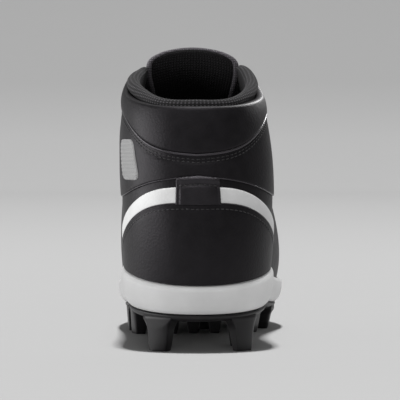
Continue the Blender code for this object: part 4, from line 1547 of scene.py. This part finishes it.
def knit_look(name, dark, light, pitch, mapped):
    """Knitted textile: crossing ribs of yarn, with light flecks on their crests that are painted glints."""
    made, tree = new_look(name)
    place = weave_place(tree) if mapped else object_place(tree)
    ribs = bands(tree, place, pitch, "X", 0.4)
    courses = bands(tree, place, 1.25 * pitch, "Y" if mapped else "Z", 0.4)
    yarn = combine(tree, "MULTIPLY", ribs, courses)
    flecks = noise(tree, place, scale=1400.0, detail=2.0)
    normal = bump(tree, flecks, strength=0.3, distance=0.0002)
    normal = bump(tree, yarn, strength=0.8, distance=0.0004, Normal=normal)
    dress(tree, Sheen_Weight=0.06, Sheen_Roughness=0.5, Specular_IOR_Level=0.3)
    # The colour is lightest where flecks fall on the yarn's crests: painted glints.
    colour = ramp(tree, combine(tree, "MULTIPLY", yarn, flecks), dark, light, 0.12, 0.55)
    dress(tree, Base_Color=colour, Roughness=scaled(tree, flecks, low=0.75, high=0.95), Normal=normal)
    return made


def lace_look():
    """A flat woven lace: fine diagonal strands."""
    made, tree = new_look("black_lace")
    place = weave_place(tree)
    strands = []
    for lean in (38, -38):
        turned = add(tree, "ShaderNodeMapping", Vector=place, Rotation=(0.0, 0.0, math.radians(lean)))
        strands.append(bands(tree, turned.outputs[0], 0.0011, "X"))
    yarn = combine(tree, "MAXIMUM", *strands)
    fibre = noise(tree, object_place(tree), scale=3000.0)
    normal = bump(tree, fibre, strength=0.25, distance=0.0001)
    normal = bump(tree, yarn, strength=0.7, distance=0.0003, Normal=normal)
    colour = ramp(tree, yarn, dark_tone(0.006), dark_tone(0.03))
    dress(tree, Sheen_Weight=0.2)
    dress(tree, Base_Color=colour, Roughness=scaled(tree, fibre, low=0.7, high=0.95), Normal=normal)
    return made


def foam_look():
    """Moulded foam: off-white, faintly uneven, with a fine skin."""
    made, tree = new_look("white_foam")
    place = object_place(tree)
    skin = noise(tree, place, scale=1500.0, detail=4.0)
    colour = ramp(tree, noise(tree, place, scale=60.0), pale_tone(0.69), pale_tone(0.755))
    normal = bump(tree, skin, strength=0.35, distance=0.00016)
    dress(tree, Specular_IOR_Level=0.4)
    dress(tree, Base_Color=colour, Roughness=scaled(tree, skin, low=0.42, high=0.62), Normal=normal)
    return made


def plate_look():
    """Hard moulded plastic: dark, with a fine spark texture."""
    made, tree = new_look("black_plate")
    place = object_place(tree)
    spark = noise(tree, place, scale=1900.0, detail=4.0)
    colour = ramp(tree, noise(tree, place, scale=70.0), dark_tone(0.008), dark_tone(0.014))
    normal = bump(tree, spark, strength=0.3, distance=0.00012)
    dress(tree, Specular_IOR_Level=0.3)
    dress(tree, Base_Color=colour, Roughness=scaled(tree, spark, low=0.34, high=0.5), Normal=normal)
    return made


def thread_look(name, dark, light):
    """Twisted sewing thread."""
    made, tree = new_look(name)
    twist = bands(tree, object_place(tree), 0.0005, "DIAGONAL", 1.0)
    colour = ramp(tree, twist, dark, light)
    normal = bump(tree, twist, strength=0.5, distance=0.00012)
    dress(tree, Sheen_Weight=0.15)
    dress(tree, Base_Color=colour, Roughness=scaled(tree, twist, low=0.5, high=0.75), Normal=normal)
    return made


def stage_look():
    """The pale studio paper, with its greys along it: a painted gradient of light and shade."""
    made, tree = new_look("studio_paper")
    place = object_place(tree)
    split = add(tree, "ShaderNodeSeparateXYZ", Vector=place)
    run = combine(tree, "ADD", split.outputs["Y"], split.outputs["Z"])
    start, end = PAPER_PAINTED_LIGHT[0].run, PAPER_PAINTED_LIGHT[-1].run
    share = add(tree, "ShaderNodeMapRange", Value=run, From_Min=start, From_Max=end)
    tones = add(tree, "ShaderNodeValToRGB", Fac=share.outputs["Result"])
    stops = tones.color_ramp.elements
    for row in PAPER_PAINTED_LIGHT[1:-1]:
        stops.new((row.run - start) / (end - start))
    for stop, row in zip(stops, PAPER_PAINTED_LIGHT):
        stop.color = (*pale_tone(row.grey), 1.0)
    rough = scaled(tree, noise(tree, place, scale=30.0), 0.8, 0.9)
    dress(tree, Specular_IOR_Level=0.15, Base_Color=tones.outputs["Color"], Roughness=rough)
    return made


# Studio


def build_stage():
    """A pale floor that sweeps up into a backdrop behind the shoe."""
    line = [(-FLOOR_REACH, 0.0)]
    for turn in np.radians(np.linspace(0, 90, 25)):
        line.append((SWEEP_START + SWEEP_ROUND * math.sin(turn), SWEEP_ROUND * (1 - math.cos(turn))))
    line.append((SWEEP_START + SWEEP_ROUND, FLOOR_REACH / 2))
    points = [(x, y, z) for y, z in line for x in (-FLOOR_REACH, FLOOR_REACH)]
    mesh = bpy.data.meshes.new("floor")
    mesh.from_pydata(points, [], grid_faces(len(line), 2))
    mesh.shade_smooth()
    mesh.materials.append(stage_look())
    floor = bpy.data.objects.new("floor", mesh)
    bpy.context.scene.collection.objects.link(floor)
    return floor


def aim(thing, target):
    """Turns a light or camera towards a point."""
    way = np.asarray(target, float) - np.asarray(thing.location)
    flat = math.hypot(way[0], way[1])
    thing.rotation_euler = (math.atan2(flat, -way[2]), 0.0, math.atan2(-way[0], way[1]))


def soft_light(row, pieces):
    """A softbox that lights these pieces alone, or all but them."""
    light = bpy.data.lights.new(row.name, "AREA")
    light.shape = "RECTANGLE"
    light.size = row.wide
    light.size_y = row.high
    light.energy = row.power
    made = bpy.data.objects.new(row.name, light)
    made.location = row.place
    bpy.context.scene.collection.objects.link(made)
    aim(made, row.target)
    linked = bpy.data.collections.new(row.name + "_reach")
    for piece in pieces:
        linked.objects.link(piece)
    for entry in linked.collection_objects:
        entry.light_linking.link_state = row.reach
    made.light_linking.receiver_collection = linked


def build_lights(groups):
    """The softboxes, which name groups of pieces, and a faint light from all round."""
    for row in SOFTBOXES:
        soft_light(row, [piece for word in row.groups for piece in groups[word]])
    world = bpy.data.worlds.new("studio")
    world.use_nodes = True
    background = world.node_tree.nodes["Background"]
    background.inputs["Color"].default_value = (1.0, 1.0, 1.0, 1.0)
    background.inputs["Strength"].default_value = AMBIENT
    bpy.context.scene.world = world


def build_camera():
    """The camera behind the heel."""
    lens = bpy.data.cameras.new("camera")
    lens.lens = CAMERA_LENS
    lens.sensor_width = CAMERA_SENSOR
    lens.clip_end = CAMERA_REACH
    camera = bpy.data.objects.new("camera", lens)
    camera.location = CAMERA_PLACE
    bpy.context.scene.collection.objects.link(camera)
    aim(camera, CAMERA_TARGET)
    bpy.context.scene.camera = camera
    bpy.context.scene.view_settings.view_transform = "Standard"


def main():
    """Builds the studio and every piece of the shoe."""
    black = leather_look("black_leather", dark_tone(0.005), dark_tone(0.009), rough=0.46)
    smooth = leather_look("smooth_black_leather", dark_tone(0.007), dark_tone(0.012), 0.36, 0.6, shine=0.4)
    white = leather_look("white_leather", pale_tone(0.74), pale_tone(0.80), 0.46, 0.6, shine=0.45)
    # The beads' leather is lighter than the panels', a painted highlight along the edges. Its gloss is the
    # leather's own.
    painted = leather_look("piping_highlight_leather", dark_tone(0.022), dark_tone(0.036), 0.30, 0.4, shine=0.6)
    # The dark discs in the eyelet holes are painted shade.
    dark = leather_look("eyelet_hole_shade_black", dark_tone(0.004), dark_tone(0.007), rough=0.7)
    # Each knit's light tone colours the flecks on its yarn crests as painted glints, most strongly in the
    # collar's knit.
    knit = knit_look("black_knit", dark_tone(0.004), dark_tone(0.105), pitch=0.0016, mapped=True)
    lining = knit_look("black_lining", dark_tone(0.007), dark_tone(0.022), pitch=0.0012, mapped=False)
    tongue = knit_look("tongue_lining", dark_tone(0.007), dark_tone(0.026), pitch=0.0012, mapped=True)
    tape = knit_look("grey_binding", dark_tone(0.11), dark_tone(0.27), pitch=0.0010, mapped=False)
    thread = thread_look("black_thread", dark_tone(0.007), dark_tone(0.026))
    grey_thread = thread_look("grey_thread", pale_tone(0.20), pale_tone(0.38))
    build_camera()
    floor = build_stage()
    midsole = build_midsole(foam_look(), lining)
    build_insole(lining)
    build_outsole(plate_look())
    build_upper(black, lining)
    build_counter(black)
    build_trims(white)
    build_tab(smooth)
    build_ankle(black)
    cuff = build_cuff(black)
    piping = build_piping(painted)
    build_eyestay(black)
    build_toe_cap(black)
    build_stitching(thread)
    build_patch(grey_thread)
    build_collar_padding(knit)
    build_tongue(tongue)
    build_binding(tape)
    build_eyelets(smooth, dark)
    build_laces(lace_look())
    build_lights({"floor": [floor], "foam": [midsole], "cuff": [cuff, piping]})


main()
